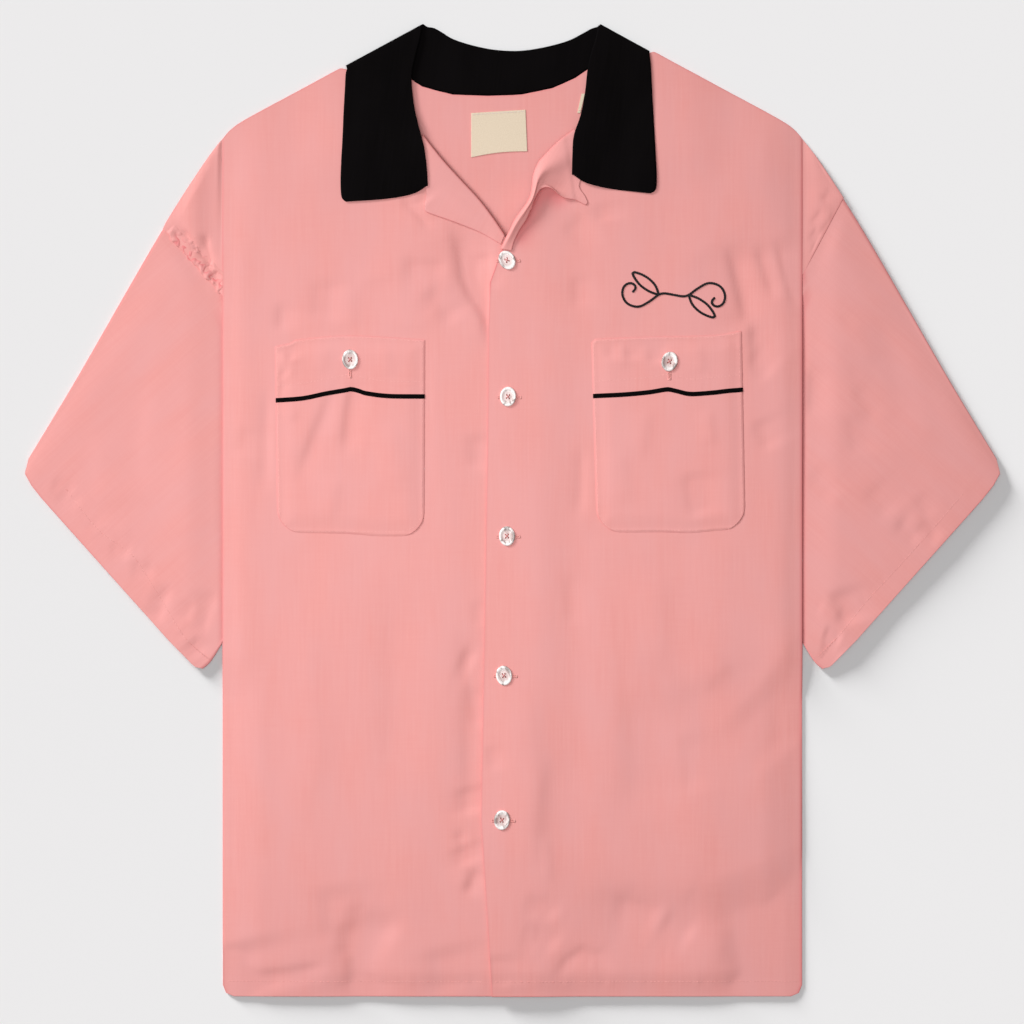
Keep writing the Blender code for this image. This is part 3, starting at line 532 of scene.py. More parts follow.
def leafZ(x, y):
    x, y = np.asarray(x), np.asarray(y)
    low, high = fall["onRevere"]
    overRevere = smooth((high - y) / 18) * smooth((np.where(x < 0, *fall["reach"]) - np.abs(x)) / 24)
    lying = fall["pressed"] + (ply - fall["pressed"]) * smooth((y - 690) / 30)
    over = fall["over"] * overRevere * smooth((y - low) / 14)
    wave = fall["waves"] * np.sin(y / 14.0 + x / 23.0) * smooth((740 - y) / 30)
    return frontFlat(x, y) + lying + over + wave


def gridFaces(rowCount, columnCount, start=0, ring=False):
    faces = []
    for i in range(rowCount - 1):
        for j in range(columnCount if ring else columnCount - 1):
            a = start + i * columnCount + j
            b = start + i * columnCount + (j + 1) % columnCount
            faces.append((a, b, b + columnCount, a + columnCount))
    return faces


def threadFaces(rings, sides, start):
    # a closed thread, given as rings of points
    ends = [tuple(start + first + k for k in range(sides)) for first in (0, (rings - 1) * sides)]
    return gridFaces(rings, sides, start, True) + ends


def addObject(name, data):
    obj = bpy.data.objects.new(name, data)
    bpy.context.scene.collection.objects.link(obj)
    return obj


def reworked(mesh, change=None):
    # faces turned the same way, smooth, and changed first if asked
    bm = bmesh.new()
    bm.from_mesh(mesh)
    if change:
        change(bm)
    bmesh.ops.recalc_face_normals(bm, faces=bm.faces)
    bm.to_mesh(mesh)
    bm.free()
    mesh.polygons.foreach_set("use_smooth", [True] * len(mesh.polygons))


def meshObject(name, verts, faces, mat):
    mesh = bpy.data.meshes.new(name)
    place = (np.array(verts, float) - (0, hemToMiddle, 0)) * mm
    mesh.from_pydata(place.tolist(), [], faces)
    reworked(mesh)
    mesh.materials.append(mat)
    return addObject(name, mesh)


def clothPiece(name, rows, mat, paintedShade, *nodes, ring=False, wall=cloth["wall"], extra=None, turn=0, shift=0):
    # a wall on a grid of middle points, in place of the nodes; extra holds more points, faces and painted
    # shades
    rows = np.array(rows, float)
    verts = rows.reshape(-1, 3)
    faces = gridFaces(rows.shape[0], rows.shape[1], 0, ring)
    paintedShade = np.broadcast_to(paintedShade, rows.shape[:2]).reshape(-1)
    if extra:
        verts = np.concatenate([verts, extra[0]])
        faces += extra[1]
        paintedShade = np.concatenate([paintedShade, extra[2]])
    obj = meshObject(name, verts, faces, mat)
    # the cloth's own plane: across and along its grain in mm, and the painted shade at its edges, seams and
    # creases. The shift keeps two pieces from showing the same part of the pattern
    c, s = math.cos(turn), math.sin(turn)
    across = verts[:, 0] * c - verts[:, 1] * s + shift
    length = verts[:, 0] * s + verts[:, 1] * c
    values = np.stack([across, length, paintedShade * deepestShade], axis=-1).astype(np.float32)
    obj.data.attributes.new("grainAndShade", "FLOAT_VECTOR", "POINT").data.foreach_set("vector", values.ravel())
    solid = obj.modifiers.new("wall", "SOLIDIFY")
    solid.thickness = wall * mm
    solid.offset = 0
    return standFor(obj, *nodes)


def standFor(obj, *nodes):
    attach(obj, "root")
    if nodes:
        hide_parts(*nodes)
    return obj


def edgeSteps(length, cell):
    # fractions along a length: fine at both ends, even between
    inner = np.linspace(3.0, length - 3.0, max(2, int(length / cell)))
    ends = [0.0, 0.4, 1.0, 1.9]
    return np.concatenate([ends, inner, length - np.array(ends[::-1])]) / length


def toLinear(hexColour):
    channels = [int(hexColour[i:i + 2], 16) / 255 for i in (1, 3, 5)]
    return (*[c / 12.92 if c <= 0.04045 else ((c + 0.055) / 1.055) ** 2.4 for c in channels], 1.0)


def addNode(tree, kind, values=None, **settings):
    # a value that is another node's output is linked, and any other is set on the socket
    node = tree.nodes.new(kind)
    for key, value in settings.items():
        setattr(node, key, value)
    for key, value in (values or {}).items():
        if isinstance(value, bpy.types.NodeSocket):
            tree.links.new(value, node.inputs[key])
        else:
            node.inputs[key].default_value = value
    return node


def newMaterial(name):
    mat = bpy.data.materials.new(name)
    mat.use_nodes = True
    tree = mat.node_tree
    tree.nodes.clear()
    return mat, tree


def mixedIn(tree, colour, other, factor, span=None):
    # the other colour over the first one; a span gives the factor's range and what that becomes
    if span:
        values = {"Value": factor, **dict(zip(("From Min", "From Max", "To Min", "To Max"), span))}
        factor = addNode(tree, "ShaderNodeMapRange", values).outputs["Result"]
    values = {"Factor": factor, "A": colour, "B": toLinear(other)}
    return addNode(tree, "ShaderNodeMix", values, data_type="RGBA").outputs["Result"]


def twoTone(tree, pattern, colours, bump, **surface):
    # from one colour to the other with the pattern, which also gives the surface its relief
    colour = mixedIn(tree, toLinear(colours[0]), colours[1], pattern)
    finishMaterial(tree, colour, pattern, bump, **surface)


def finishMaterial(tree, colour, height, bump, **surface):
    values = {"Height": height, "Distance": bump[0], "Strength": bump[1]}
    normal = addNode(tree, "ShaderNodeBump", values).outputs["Normal"]
    values = {"Base Color": colour, "Normal": normal, **surface}
    shader = addNode(tree, "ShaderNodeBsdfPrincipled", values)
    addNode(tree, "ShaderNodeOutputMaterial", {"Surface": shader.outputs["BSDF"]})


def patternOf(tree, place, scale, turn=0.0, detail=2.0, **more):
    # noise stretched over the surface, by so many to the unit each way
    values = {"Vector": place, "Scale": scale, "Rotation": (0.0, 0.0, turn)}
    at = addNode(tree, "ShaderNodeMapping", values).outputs["Vector"]
    return addNode(tree, "ShaderNodeTexNoise", {"Vector": at, "Scale": 1.0, "Detail": detail, **more})


wovenRayon = {
    # rayon challis, piece dyed, spun from uneven yarn: matt with a faint sheen and long slubs along the warp
    # each edge colour is painted shade, mixed in at turned edges, seams and creases
    "pink": {
        "base": "#eea7a2", "slub": "#e99c97", "cloud": "#eaa9a7", "edge": "#df7377",
        "slubAmount": 0.5, "roughness": 0.82, "specular": 0.2, "sheen": 0.12, "sheenTint": "#ffd9d4",
    },
    "black": {
        "base": "#0a0809", "slub": "#060505", "cloud": "#0d0b0c", "edge": "#050505",
        "slubAmount": 0.7, "roughness": 0.9, "specular": 0.04, "sheen": 0.0, "sheenTint": "#8a8488",
    },
    # width and length in mm, and detail; real yarns are 0.25 mm apart, drawn coarser so that they show
    "patterns": {
        "slub": (1.7, 46.0, 3.0), "weft": (30.0, 1.5, 2.0), "yarn": (0.9, 1.5, 2.0),
        "cloud": (85.0 / 2.6, 85.0, 3.0),
    },
}


def rayon(name, look):
    mat, tree = newMaterial(name)
    grainAndShade = addNode(tree, "ShaderNodeAttribute", attribute_name="grainAndShade").outputs["Vector"]
    parts = addNode(tree, "ShaderNodeSeparateXYZ", {"Vector": grainAndShade})
    noise = {}
    for key, (wide, long, detail) in wovenRayon["patterns"].items():
        noise[key] = patternOf(tree, grainAndShade, (1 / wide, 1 / long, 0.0), detail=detail).outputs["Fac"]
    colour = toLinear(look["base"])
    for key, other, span in (
        ("slub", "slub", (0.3, 0.7, 0.0, look["slubAmount"])), ("weft", "slub", (0.35, 0.75, 0.0, 0.3)),
        ("cloud", "cloud", (0.35, 0.66, 0.0, 0.6)),
    ):
        colour = mixedIn(tree, colour, look[other], noise[key], span)
    # painted shade: the edge colour mixed in as far as the attribute's third part asks
    colour = mixedIn(tree, colour, look["edge"], parts.outputs["Z"])
    height = addNode(tree, "ShaderNodeMath", {0: noise["slub"], 1: noise["yarn"]}, operation="ADD")
    surface = {
        "Roughness": look["roughness"], "Specular IOR Level": look["specular"],
        "Sheen Weight": look["sheen"], "Sheen Roughness": 0.45, "Sheen Tint": toLinear(look["sheenTint"]),
    }
    finishMaterial(tree, colour, height.outputs["Value"], (0.0001, 0.5), **surface)
    return mat


castPearl = {
    # middle is the cloth's pink, painted in where the face is thin
    "white": "#fbf8f5", "shade": "#a9a09c", "middle": "#d9b5b0", "roughness": 0.14,
    "cloud": (5.2, 10.4, 5.0),  # mm
    "swirls": (0.48, 0.6, 0.0, 1.0),
    "paintedSeeThrough": (0.0036, 0.0056, 0.62, 0.0),  # m from the middle, and how much of the cloth's pink is painted in there
}


def pearlResin():
    # pearlescent polyester, cast in a sheet and turned: milky white rim, soft grey swirls, and a thin face
    # with the cloth's pink painted in, where light through it would show the cloth beneath
    mat, tree = newMaterial("pearlResin")
    place = addNode(tree, "ShaderNodeTexCoord").outputs["Object"]
    info = addNode(tree, "ShaderNodeObjectInfo").outputs["Location"]
    apart = addNode(tree, "ShaderNodeVectorMath", {0: place, 1: info}, operation="ADD").outputs["Vector"]
    size = [1000 / c for c in castPearl["cloud"]]
    swirl = patternOf(tree, apart, size, turn=0.7, Distortion=1.2).outputs["Fac"]
    fromMiddle = addNode(tree, "ShaderNodeVectorMath", {0: place}, operation="LENGTH").outputs["Value"]
    colour = mixedIn(tree, toLinear(castPearl["white"]), castPearl["shade"], swirl, castPearl["swirls"])
    # painted see-through: the cloth's pink mixed in towards the middle
    colour = mixedIn(tree, colour, castPearl["middle"], fromMiddle, castPearl["paintedSeeThrough"])
    gloss = {"Roughness": castPearl["roughness"], "Coat Weight": 0.5, "Coat Roughness": 0.06, "IOR": 1.56}
    finishMaterial(tree, colour, swirl, (0.00008, 0.3), **gloss)
    return mat


tapeWeave = {"thread": 0.85, "light": "#efe3cc", "dark": "#dccdb2"}  # threads in mm


def cottonTape():
    # unbleached cotton tape in a close plain weave: warm white, dry, with a small check of threads
    mat, tree = newMaterial("cottonTape")
    grainAndShade = addNode(tree, "ShaderNodeAttribute", attribute_name="grainAndShade").outputs["Vector"]
    size = (1 / tapeWeave["thread"], 1 / tapeWeave["thread"], 0.0)
    threads = patternOf(tree, grainAndShade, size, detail=1.0).outputs["Fac"]
    dry = {"Roughness": 0.9, "Specular IOR Level": 0.2}
    twoTone(tree, threads, (tapeWeave["light"], tapeWeave["dark"]), (0.0002, 0.8), **dry)
    return mat


def spunThread(name, light, dark):
    # spun polyester sewing thread, two plies twisted: the fine slanting light and dark is painted highlight
    # and shade
    mat, tree = newMaterial(name)
    place = addNode(tree, "ShaderNodeTexCoord").outputs["Object"]
    turned = {"Vector": place, "Scale": (1400.0, 1400.0, 1400.0), "Rotation": (0.0, 0.0, 0.8)}
    at = addNode(tree, "ShaderNodeMapping", turned).outputs["Vector"]
    twist = addNode(tree, "ShaderNodeTexWave", {"Vector": at, "Scale": 1.0, "Distortion": 0.6}).outputs["Fac"]
    dry = {"Roughness": 0.6, "Specular IOR Level": 0.35}
    twoTone(tree, twist, (light, dark), (0.0001, 0.6), **dry)
    return mat


def paperSweep():
    # matt seamless background paper: even, pale and slightly mottled
    mat, tree = newMaterial("paperSweep")
    mottle = addNode(tree, "ShaderNodeTexNoise", {"Scale": 6.0, "Detail": 3.0}).outputs["Fac"]
    twoTone(tree, mottle, ("#eeeeee", "#f0f0f0"), (0.0002, 0.2), Roughness=0.95)
    return mat


deepestShade = 0.42  # how much of the painted shade colour a shade of one mixes in
pink = rayon("pinkRayonChallis", wovenRayon["pink"])
black = rayon("blackRayonChallis", wovenRayon["black"])
pearl = pearlResin()
tape = cottonTape()
pinkThread = spunThread("pinkSpunThread", "#f8b8b2", "#f5afa9")
blackThread = spunThread("blackSpunThread", "#17151a", "#050505")
whiteThread = spunThread("whiteSpunThread", "#f6eeea", "#d9c4c0")
roseThread = spunThread("roseSpunThread", "#e58f8b", "#c96d6c")
print("materials made")


# The camera, the light and the floor come first

studio = {
    "lens": 85.0, "sensor": 36.0,
    "view": 0.8192, "middle": (-0.0004, -0.0012),  # width and middle of what it sees, in m on the table
    "sky": 0.26, "skyColour": (1.0, 0.81, 0.81, 1),  # warm, as if thrown back by the cloth itself
    "keyLight": {"energy": 2.5, "travel": (0.82, -0.57), "height": 25.0, "size": 20.0, "colour": (1, 1, 1)},
    "paperLow": {"energy": 11.4, "travel": (0.68, -0.73), "height": 6.8, "size": 12.0, "colour": (1, 1, 1)},
    "paperHigh": {"energy": 0.99, "travel": (0, 0), "height": 90.0, "size": 60.0, "colour": (0.87, 0.99, 1)},
    "panel": 3.95, "panelAt": (-0.2, 0.02, 0.8), "panelSize": 0.7,  # W and m
    "paper": (3000.0, 0.05),  # mm from its middle to its edge, and down from the table's height
}


def aimed(obj, direction):
    obj.rotation_mode = "QUATERNION"
    obj.rotation_quaternion = Vector(direction).to_track_quat("-Z", "Y")
    return obj


def sun(name, look):
    light = bpy.data.lights.new(name, "SUN")
    light.energy = look["energy"]
    light.color = look["colour"]
    light.angle = math.radians(look["size"])
    height = math.radians(look["height"])
    travel = (*[c * math.cos(height) for c in look["travel"]], -math.sin(height))
    return aimed(addObject(name, light), travel)


def makeStudio():
    scene = bpy.context.scene
    scene.view_settings.view_transform = "Standard"
    camera = bpy.data.cameras.new("camera")
    camera.lens = studio["lens"]
    camera.sensor_width = studio["sensor"]
    scene.camera = addObject("camera", camera)
    scene.camera.location = (*studio["middle"], studio["view"] * studio["lens"] / studio["sensor"])
    scene.world = bpy.data.worlds.new("studio")
    scene.world.use_nodes = True
    sky = scene.world.node_tree.nodes["Background"]
    sky.inputs["Color"].default_value = studio["skyColour"]
    sky.inputs["Strength"].default_value = studio["sky"]
    key, paperLow, paperHigh = (sun(name, studio[name]) for name in ("keyLight", "paperLow", "paperHigh"))
    panel = bpy.data.lights.new("softPanel", "AREA")
    panel.energy = studio["panel"]
    panel.size = studio["panelSize"]
    soft = aimed(addObject("softPanel", panel), [-c for c in studio["panelAt"]])
    soft.location = studio["panelAt"]
    side, down = studio["paper"]
    ground = [(x * side, y * side, -down) for x, y in ((-1, -1), (1, -1), (1, 1), (-1, 1))]
    floor = meshObject("floor", ground, [(0, 1, 2, 3)], paperSweep())
    # the paper has its own even light, of which the low part draws the shirt's soft shadow
    for name, lights in (("onPaper", (paperLow, paperHigh)), ("offPaper", (key, soft))):
        lit = bpy.data.collections.new(name)
        lit.objects.link(floor)
        if name == "offPaper":
            lit.collection_objects[0].light_linking.link_state = "EXCLUDE"
        for light in lights:
            light.light_linking.receiver_collection = lit


makeStudio()
print("studio made")


def halfBack(side):
    edge, fold = outline["armhole"][side]
    neck = neckEdge(side, 180)[::-1] * (side, 1)
    middle = (neckEdge(-1, 180)[-1, 1] + neckEdge(1, 180)[-1, 1]) / 2
    shoulder = shoulderLine(side, neck[-1, 0] + 2, edge[0] - 2)
    top = np.concatenate([[(0.0, middle)], neck, shoulder, [edge]])
    across = np.union1d(np.linspace(0, 1, 62), fractions(top)[: len(neck) + 1])
    up = np.union1d(edgeSteps(edge[1], 5.0), np.array([*cornerSteps, fold[1]]) / edge[1])
    below = 1 - smooth((up * edge[1] - frontLook["underarm"]) / 20)
    inset = np.stack([outline["backInset"] * below, 0 * below], axis=-1)
    right = atHeights([*hemRound, fold, edge], up * edge[1]) - inset
    bottom = np.stack([across * right[0, 0], across * 0], axis=-1)
    middleLine = np.stack([up * 0, up * middle], axis=-1)
    return patch(bottom, along(top, across), middleLine, right, across, up) * (side, 1)


def refit(half, count):
    rows = np.linspace(0, len(half) - 1, count)
    low = np.clip(rows.astype(int), 0, len(half) - 2)
    part = (rows - low)[:, None, None]
    return half[low] * (1 - part) + half[low + 1] * part


def makeBack():
    # both halves share the centre line; rows are matched by their height there
    halves = halfBack(-1), halfBack(1)
    right, left = (refit(half, max(map(len, halves))) for half in halves)
    grid = np.concatenate([right[:, ::-1], left[:, 1:]], axis=1)
    folds = creases(grid[..., 0], grid[..., 1], frontFolds["back"]) * between(grid[..., 1], 4, 640, 20, 30)
    rows = withZ(grid, backZ(grid[..., 0], grid[..., 1]) + folds)
    # painted shade along the back's edges
    return clothPiece("back_cloth", rows, pink, paintedEdgeShade(rows), "back_panel", shift=400.0)


def frontGrid(side, edgeLine):
    crossing = outline["armhole"][side][1][1]
    edgeLine = np.concatenate([edgeLine, neckEdge(side, 0, outline["neckReach"])])
    neck = edgeLine[-1] * (side, 1)
    peak = np.interp(bodyHalf, *np.array(outline["topEdge"]).T)
    top = np.concatenate([[neck], shoulderLine(side, neck[0] + 2, bodyHalf), [(bodyHalf, peak)]])
    needed = [*np.array([*cornerSteps, crossing]) / peak, *(edgeLine[:, 1] / neck[1])]
    up = np.union1d(edgeSteps(peak, frontLook["cell"]), needed)
    up = up[np.concatenate([[True], np.diff(up) > 0.0003])]
    up[-1] = 1.0
    across = edgeSteps(238.0, frontLook["cell"])
    left = atHeights(edgeLine * (side, 1), up * neck[1])
    left[:, 0] += outline["rollInset"] * between(left[:, 1], 603, 690, 12, 12)
    right = atHeights([*hemRound, (bodyHalf, peak)], up * peak)
    bottom = left[0] + (right[0] - left[0]) * across[:, None]
    grid = patch(bottom, along(top, across), left, right, across, up) * (side, 1)
    return grid, int(np.argmin(np.abs(up * peak - crossing)))


def shoulderCap(side, rows, crossingRow, zOf, columns=30):
    # from the side fold out to the armhole seam, between the crossing and the shoulder
    edge = outline["armhole"][side][0]
    fold = rows[crossingRow:, -1, :2] * (side, 1)
    topLine = shoulderLine(side, bodyHalf + 1, edge[0] - 1)[::-1]
    rim = np.concatenate([[(bodyHalf, fold[0][1])], [edge], topLine, [(bodyHalf, fold[-1][1])]])
    count = len(fold) - 1
    atCorner = fractions(rim)[1]
    atRows = np.interp(np.arange(count), (0, int(round(atCorner * count)), count), (0, atCorner, 1))
    height, width = rows.shape[:2]
    points, faces, paintedShade = [], [], []
    last = [crossingRow * width + width - 1] * (columns + 1)
    for i, out in enumerate(along(rim, atRows)[1:], 1):
        start = fold[i]
        reach = np.linalg.norm(out - start)
        even = np.linspace(0, 1, columns - 2)[1:]
        even[-2] = max(even[-2], 1 - 0.35 / reach)  # a short last step keeps the rim's shading at the rim
        steps = np.union1d(even, np.minimum(np.array([0.7, 1.5, 2.6]) / reach, 0.98))
        if len(steps) != columns:
            steps = along(steps[:, None], np.linspace(0, 1, columns))[:, 0]
        p = start + (out - start) * steps[:, None]
        z = zOf(p[:, 0] * side, p[:, 1], steps * reach, (1 - steps) * reach)
        strip = [(crossingRow + i) * width + width - 1]
        strip += range(height * width + len(points), height * width + len(points) + columns)
        points += np.stack([p[:, 0] * side, p[:, 1], z], axis=-1).tolist()
        # painted shade along the armhole seam at the cap's rim, broken up along it
        broken = 0.5 + 0.5 * math.sin(i * 0.9 + 1.7 * math.sin(i * 0.37))
        paintedShade += ((0.25 + 0.5 * broken) * bell((1 - steps) * reach, cloth["edge"])).tolist()
        faces += stripFaces(last, strip)
        last = strip
    faces += stripFaces(last, [height * width - 1] * (columns + 1))
    return np.array(points), faces, np.array(paintedShade)


def stripFaces(last, strip):
    # where a strip has shrunk to one point, its faces have three corners
    corners = zip(last, last[1:], strip[1:], strip)
    return [tuple(dict.fromkeys(face)) for face in corners]


cap = {
    "bulge": {-1: 1.9, 1: 0.2},  # how far it stands up 25 mm outside the side fold
    "folds": {-1: 1.5, 1: 0.8},
    "rise": {-1: 0.9, 1: 0.45},  # from the seam inwards
    "foldRun": {-1: 5.0, 1: 14.0},
    "lowest": 0.7,
}


def capHeight(side, zOf):
    def height(x, y, fromFold, fromSeam):
        x, y = np.asarray(x, float), np.asarray(y, float)
        foldHeight = zOf(0 * x + side * bodyHalf, y)
        low = tableMiddle + ply + cap["rise"][side] * (1 - np.exp(-fromSeam / 4.0)) + 0.1
        low = low + puckers(np.abs(x), y, seamPuckers[side][:1]) * np.minimum(1.0, fromSeam / 3)
        fade = smooth((fromSeam - 1) / 2.5) if side > 0 else np.minimum(1.0, fromSeam / 2)
        low += cap["folds"][side] * creases(np.abs(x), y, capFolds[side]) * fade
        low += cap["bulge"][side] * bell(fromFold - 25, 11) * np.minimum(1.0, fromSeam / 10)
        low = np.maximum(low, tableMiddle + cap["lowest"])
        atFold = 1 - smooth(fromFold / cap["foldRun"][side])
        return low + (foldHeight - 0.25 - low) * atFold + 0.25 * np.exp(-fromFold)

    return height


# The gathered cloth along the wearer's right armhole seam: width at its two ends, how far it is sunk at its
# edges and stands out between, and its creases as half width, height and points along and across the seam
seamBand = {
    "width": (7.5, 15.0), "sunk": 0.45, "out": 0.85, "gather": 0.26,
    "creases": [
        (1.0, -0.8, (9, 6), (15, 7), (20, 5), (25, 7), (29, 5)),
        (1.0, -0.8, (29, 5), (32, 8), (36, 7), (41, 9)),
        (0.9, -0.8, (41, 2), (42, 7), (40, 12)), (1.0, -0.7, (22, 1), (26, 4), (31, 3), (36, 5)),
        (0.9, -0.8, (49, 1), (47, 6), (50, 11)), (0.9, -0.7, (53, 2), (56, 7)),
        (0.9, -0.8, (58, 1), (57, 6), (61, 10)), (0.9, -0.6, (63, 2), (65, 8)), (0.9, -0.5, (13, 1), (17, 4)),
        (1.2, 0.5, (24, 9), (34, 10)), (1.2, 0.5, (45, 4), (46, 10)), (1.2, 0.5, (53, 7), (54, 12)),
        (1.2, 0.4, (10, 3), (19, 3)), (1.6, -0.6, (38, 13), (33, 20)),
    ],
}


def makeSeamBand(name, side, zOf):
    # it belongs to the front: one cloth with the cap, in finer steps
    edge, fold = (np.array(p) for p in outline["armhole"][side])
    whole = np.linalg.norm(fold - edge)
    way = unit(fold - edge)
    inward = -leftOf(way)
    first, last = 1.5, whole - 3.0
    across = np.linspace(0, 1, 34)
    u = np.linspace(first, last, 150)[:, None] + 0 * across[None]
    low = -0.6 + 0.8 * np.sin(u / 2.9) + 0.4 * np.sin(u / 1.1 + 1)  # an uneven edge over the seam
    high = np.interp(u, (0, whole), seamBand["width"]) + 0.8 * np.sin(u / 3.1) + 2.0
    v = low + (high - low) * across[None]
    place = (edge + u[..., None] * way + v[..., None] * inward) * (side, 1)
    x, y = place[..., 0], place[..., 1]
    z = capHeight(side, zOf)(x, y, np.abs(np.abs(x) - bodyHalf), np.maximum(v, 0.0))
    v = v - low
    folds = creases(u, v, seamBand["creases"])
    window = between(across, 0, 1, 0.08, 0.22)[None] * between(u, first, last, 4, 3)
    turn = u / 1.15 + 1.5 * np.sin(v / 2.3) + 0.8 * np.sin(u / 4.7)
    gather = seamBand["gather"] * np.sin(turn) * np.exp(-v / 6)
    swell = 1 + 0.7 * bell(v - 3.5, 3) + 1.05 * folds
    z = z - seamBand["sunk"] + window * (seamBand["out"] * swell + gather)
    rows = withZ(place, np.maximum(z, tableMiddle + 0.5))
    # painted shade in the troughs of the gathers
    paintedShade = np.clip(-folds * 2.2, 0, 1.8) * window
    return clothPiece(name, rows, pink, paintedShade, wall=0.3, turn=0.6, shift=side * 90.0)


def makeFront(node, side, edgeLine, zOf):
    grid, crossingRow = frontGrid(side, edgeLine)
    rows = raised(grid, zOf)
    depth, reach = frontLook["foldShade"][side]
    # painted shade along the front's edges, deeper between the heights 556 and 610 near the top button
    atRoll = between(rows[..., 1], 556, 610, 16, 10)
    paintedShade = paintedEdgeShade(rows, "lbt") * (1 + 1.3 * atRoll)
    if side > 0:
        # painted shade under the standing revere, red as light thrown back and forth between the layers would
        # leave it
        off = offLine(rows[..., 0], rows[..., 1], frontLook["underRevere"])[0]
        paintedShade = np.maximum(paintedShade, 1.2 * bell(off, 8))
    # painted shade at the side fold, deeper on the side turned from the light
    paintedShade = np.maximum(paintedShade, depth * paintedEdgeShade(rows, "r", reach))
    outer = shoulderCap(side, rows, crossingRow, capHeight(side, zOf))
    return clothPiece(node + "_cloth", rows, pink, paintedShade, node, extra=outer, shift=side * 90.0)


def halfRound(edgePoint, high, low):
    # a fold of the cloth from the lower layer round to the upper one
    radius = ply / 2
    toward = unit(np.array(edgePoint) - (high[:2] + low[:2]) / 2)
    centre = np.array(edgePoint) - toward * (radius + cloth["wall"] / 2)
    turns = np.radians((-72, -36, 0, 36, 72))[:, None]
    heights = tableMiddle + radius + np.sin(turns[:, 0]) * radius
    return withZ(centre + toward * np.cos(turns) * radius, heights)


sleeveLook = {
    "rise": 1.3,  # of the upper layer's middle
    "folds": 0.75, "waves": 0.17, "lowest": 0.62,
    "pressed": 0.9,  # how far the body's side fold holds the cloth down
    "pulledIn": {-1: 0.42, 1: 0.08},  # and the armhole seam
    "besideFold": {-1: 1.0, 1: 1.7},  # painted shadow where the body's side fold lies over it; deeper on the side turned from the light
}


def sleeveZ(side, x, y, middle=1.0):
    # the upper layer, with folds and puckers that die away at the body
    out = np.abs(x)
    z = tableMiddle + ply + (sleeveLook["rise"] + drape(x, y + x, sleeveLook["waves"])) * middle
    z += sleeveLook["folds"] * creases(out, y, sleeveFolds[side]) * smooth((out - 233) / 6)
    return z + puckers(out, y, seamPuckers[side]) * smooth((out - 231) / 5)


def sleeveRings(side):
    edge, fold = (np.array(p) for p in outline["armhole"][side])
    out = np.array([0.75, -0.65]) * cloth["gap"] * 1.4  # away from the armhole seam
    topLine = fineLine(outline["topEdge"])
    topEdge = np.concatenate([[edge + out], topLine[topLine[:, 0] > edge[0] + 1]])
    underarm = outline["underarm"]
    cuff = np.array([topEdge[-1], *outline["cuff"], underarm[-1]])
    seamRows, lowRows = 22, 66
    down = np.concatenate([np.linspace(0, 0.2, seamRows), np.linspace(0.2, 0.985, lowRows)[1:], [1.0]])
    tube = np.concatenate([[0.0], np.linspace(0.006, 0.985, 62), [0.9905, 0.9955, 0.9985, 1.0]])
    tucked = bodyHalf - outline["sleeveTuck"]
    # the inner ends of the upper and the lower layer: the armhole seam, then the part by the body
    inner = (
        (edge - 3 * out, fold - 3 * out, (tucked, fold[1] - 14), (tucked, underarm[0][1] + 32), underarm[0]),
        (edge + out, fold + out + (0.6, -0.5), (bodyHalf + cloth["gap"], fold[1] - 14), underarm[0]),
    )
    layers = []
    for first, second, *end in inner:
        seam = along([first, second], np.linspace(0, 1, seamRows))
        start = np.concatenate([seam, along(end, np.linspace(0, 1, lowRows))])
        sides = along(topEdge, tube), along(fineLine(underarm), tube)
        layers.append(np.swapaxes(patch(*sides, start, along(cuff, down), tube, down), 0, 1) * (side, 1))
    rings, paintedShades = [], []
    across = down[1:-1]
    for over, under in zip(*layers):
        high, low = over[1:-1], under[1:-1]
        x, y = np.abs(high[:, 0]), high[:, 1]
        middle = smooth(np.minimum(across, 1 - across) / 0.1) * smooth((x - 236) / 26)
        rise = sleeveLook["rise"] * middle
        z = sleeveZ(side, *high.T, middle)
        fromSeam = offLine(x, y, outline["armhole"][side])[0]
        if side > 0:
            calm = tableMiddle + ply + rise
            z = calm + (z - calm) * smooth(fromSeam / 5)
        # down beside the body's side fold and at the seam, but never onto the lower layer
        pressed = sleeveLook["pressed"] * np.exp(-np.abs(x - bodyHalf) / 3.5)
        z -= pressed * smooth((y - 268) / 20) * smooth(fromSeam / 7)
        z = softMax(z, tableMiddle + sleeveLook["lowest"])
        z -= sleeveLook["pulledIn"][side] * (1 - smooth((fromSeam - 1) / 5))
        z -= rise * (1 - smooth(fromSeam / 14))
        # below the armhole it runs in under the front
        underFront = smooth((bodyHalf + 7 - x) / 5)
        z = np.where(y < fold[1] + 4, np.minimum(z, 99 * (1 - underFront) + tableMiddle + ply + 0.1), z)
        high, low = withZ(high, z), withZ(low, np.full(len(low), tableMiddle))
        up, backDown = halfRound(over[0], high[0], low[0]), halfRound(over[-1], high[-1], low[-1])[::-1]
        rings.append([*up, *high, *backDown, *low[::-1]])
        # painted shade beside the body's side fold, along the sleeve's turned edges and at its seam and cuff
        # ends
        besideFold = sleeveLook["besideFold"][side] * bell(x - bodyHalf, 2.6)
        ends = np.array([*[1.0] * 5, *besideFold, *[1.0] * 5, *np.zeros(len(low))])
        atEnd = min(np.linalg.norm((over[0] - layers[0][j][0])) for j in (0, -1))
        paintedShades.append(np.maximum(0.75 * ends, bell(atEnd, cloth["edge"])))
    return rings, paintedShades


def makeSleeve(node, side):
    rings, paintedShades = sleeveRings(side)
    turn, shift = -side * 0.84, 700.0 + side * 50  # the sleeve's own grain
    return clothPiece(node + "_cloth", rings, pink, paintedShades, node, ring=True, turn=turn, shift=shift)


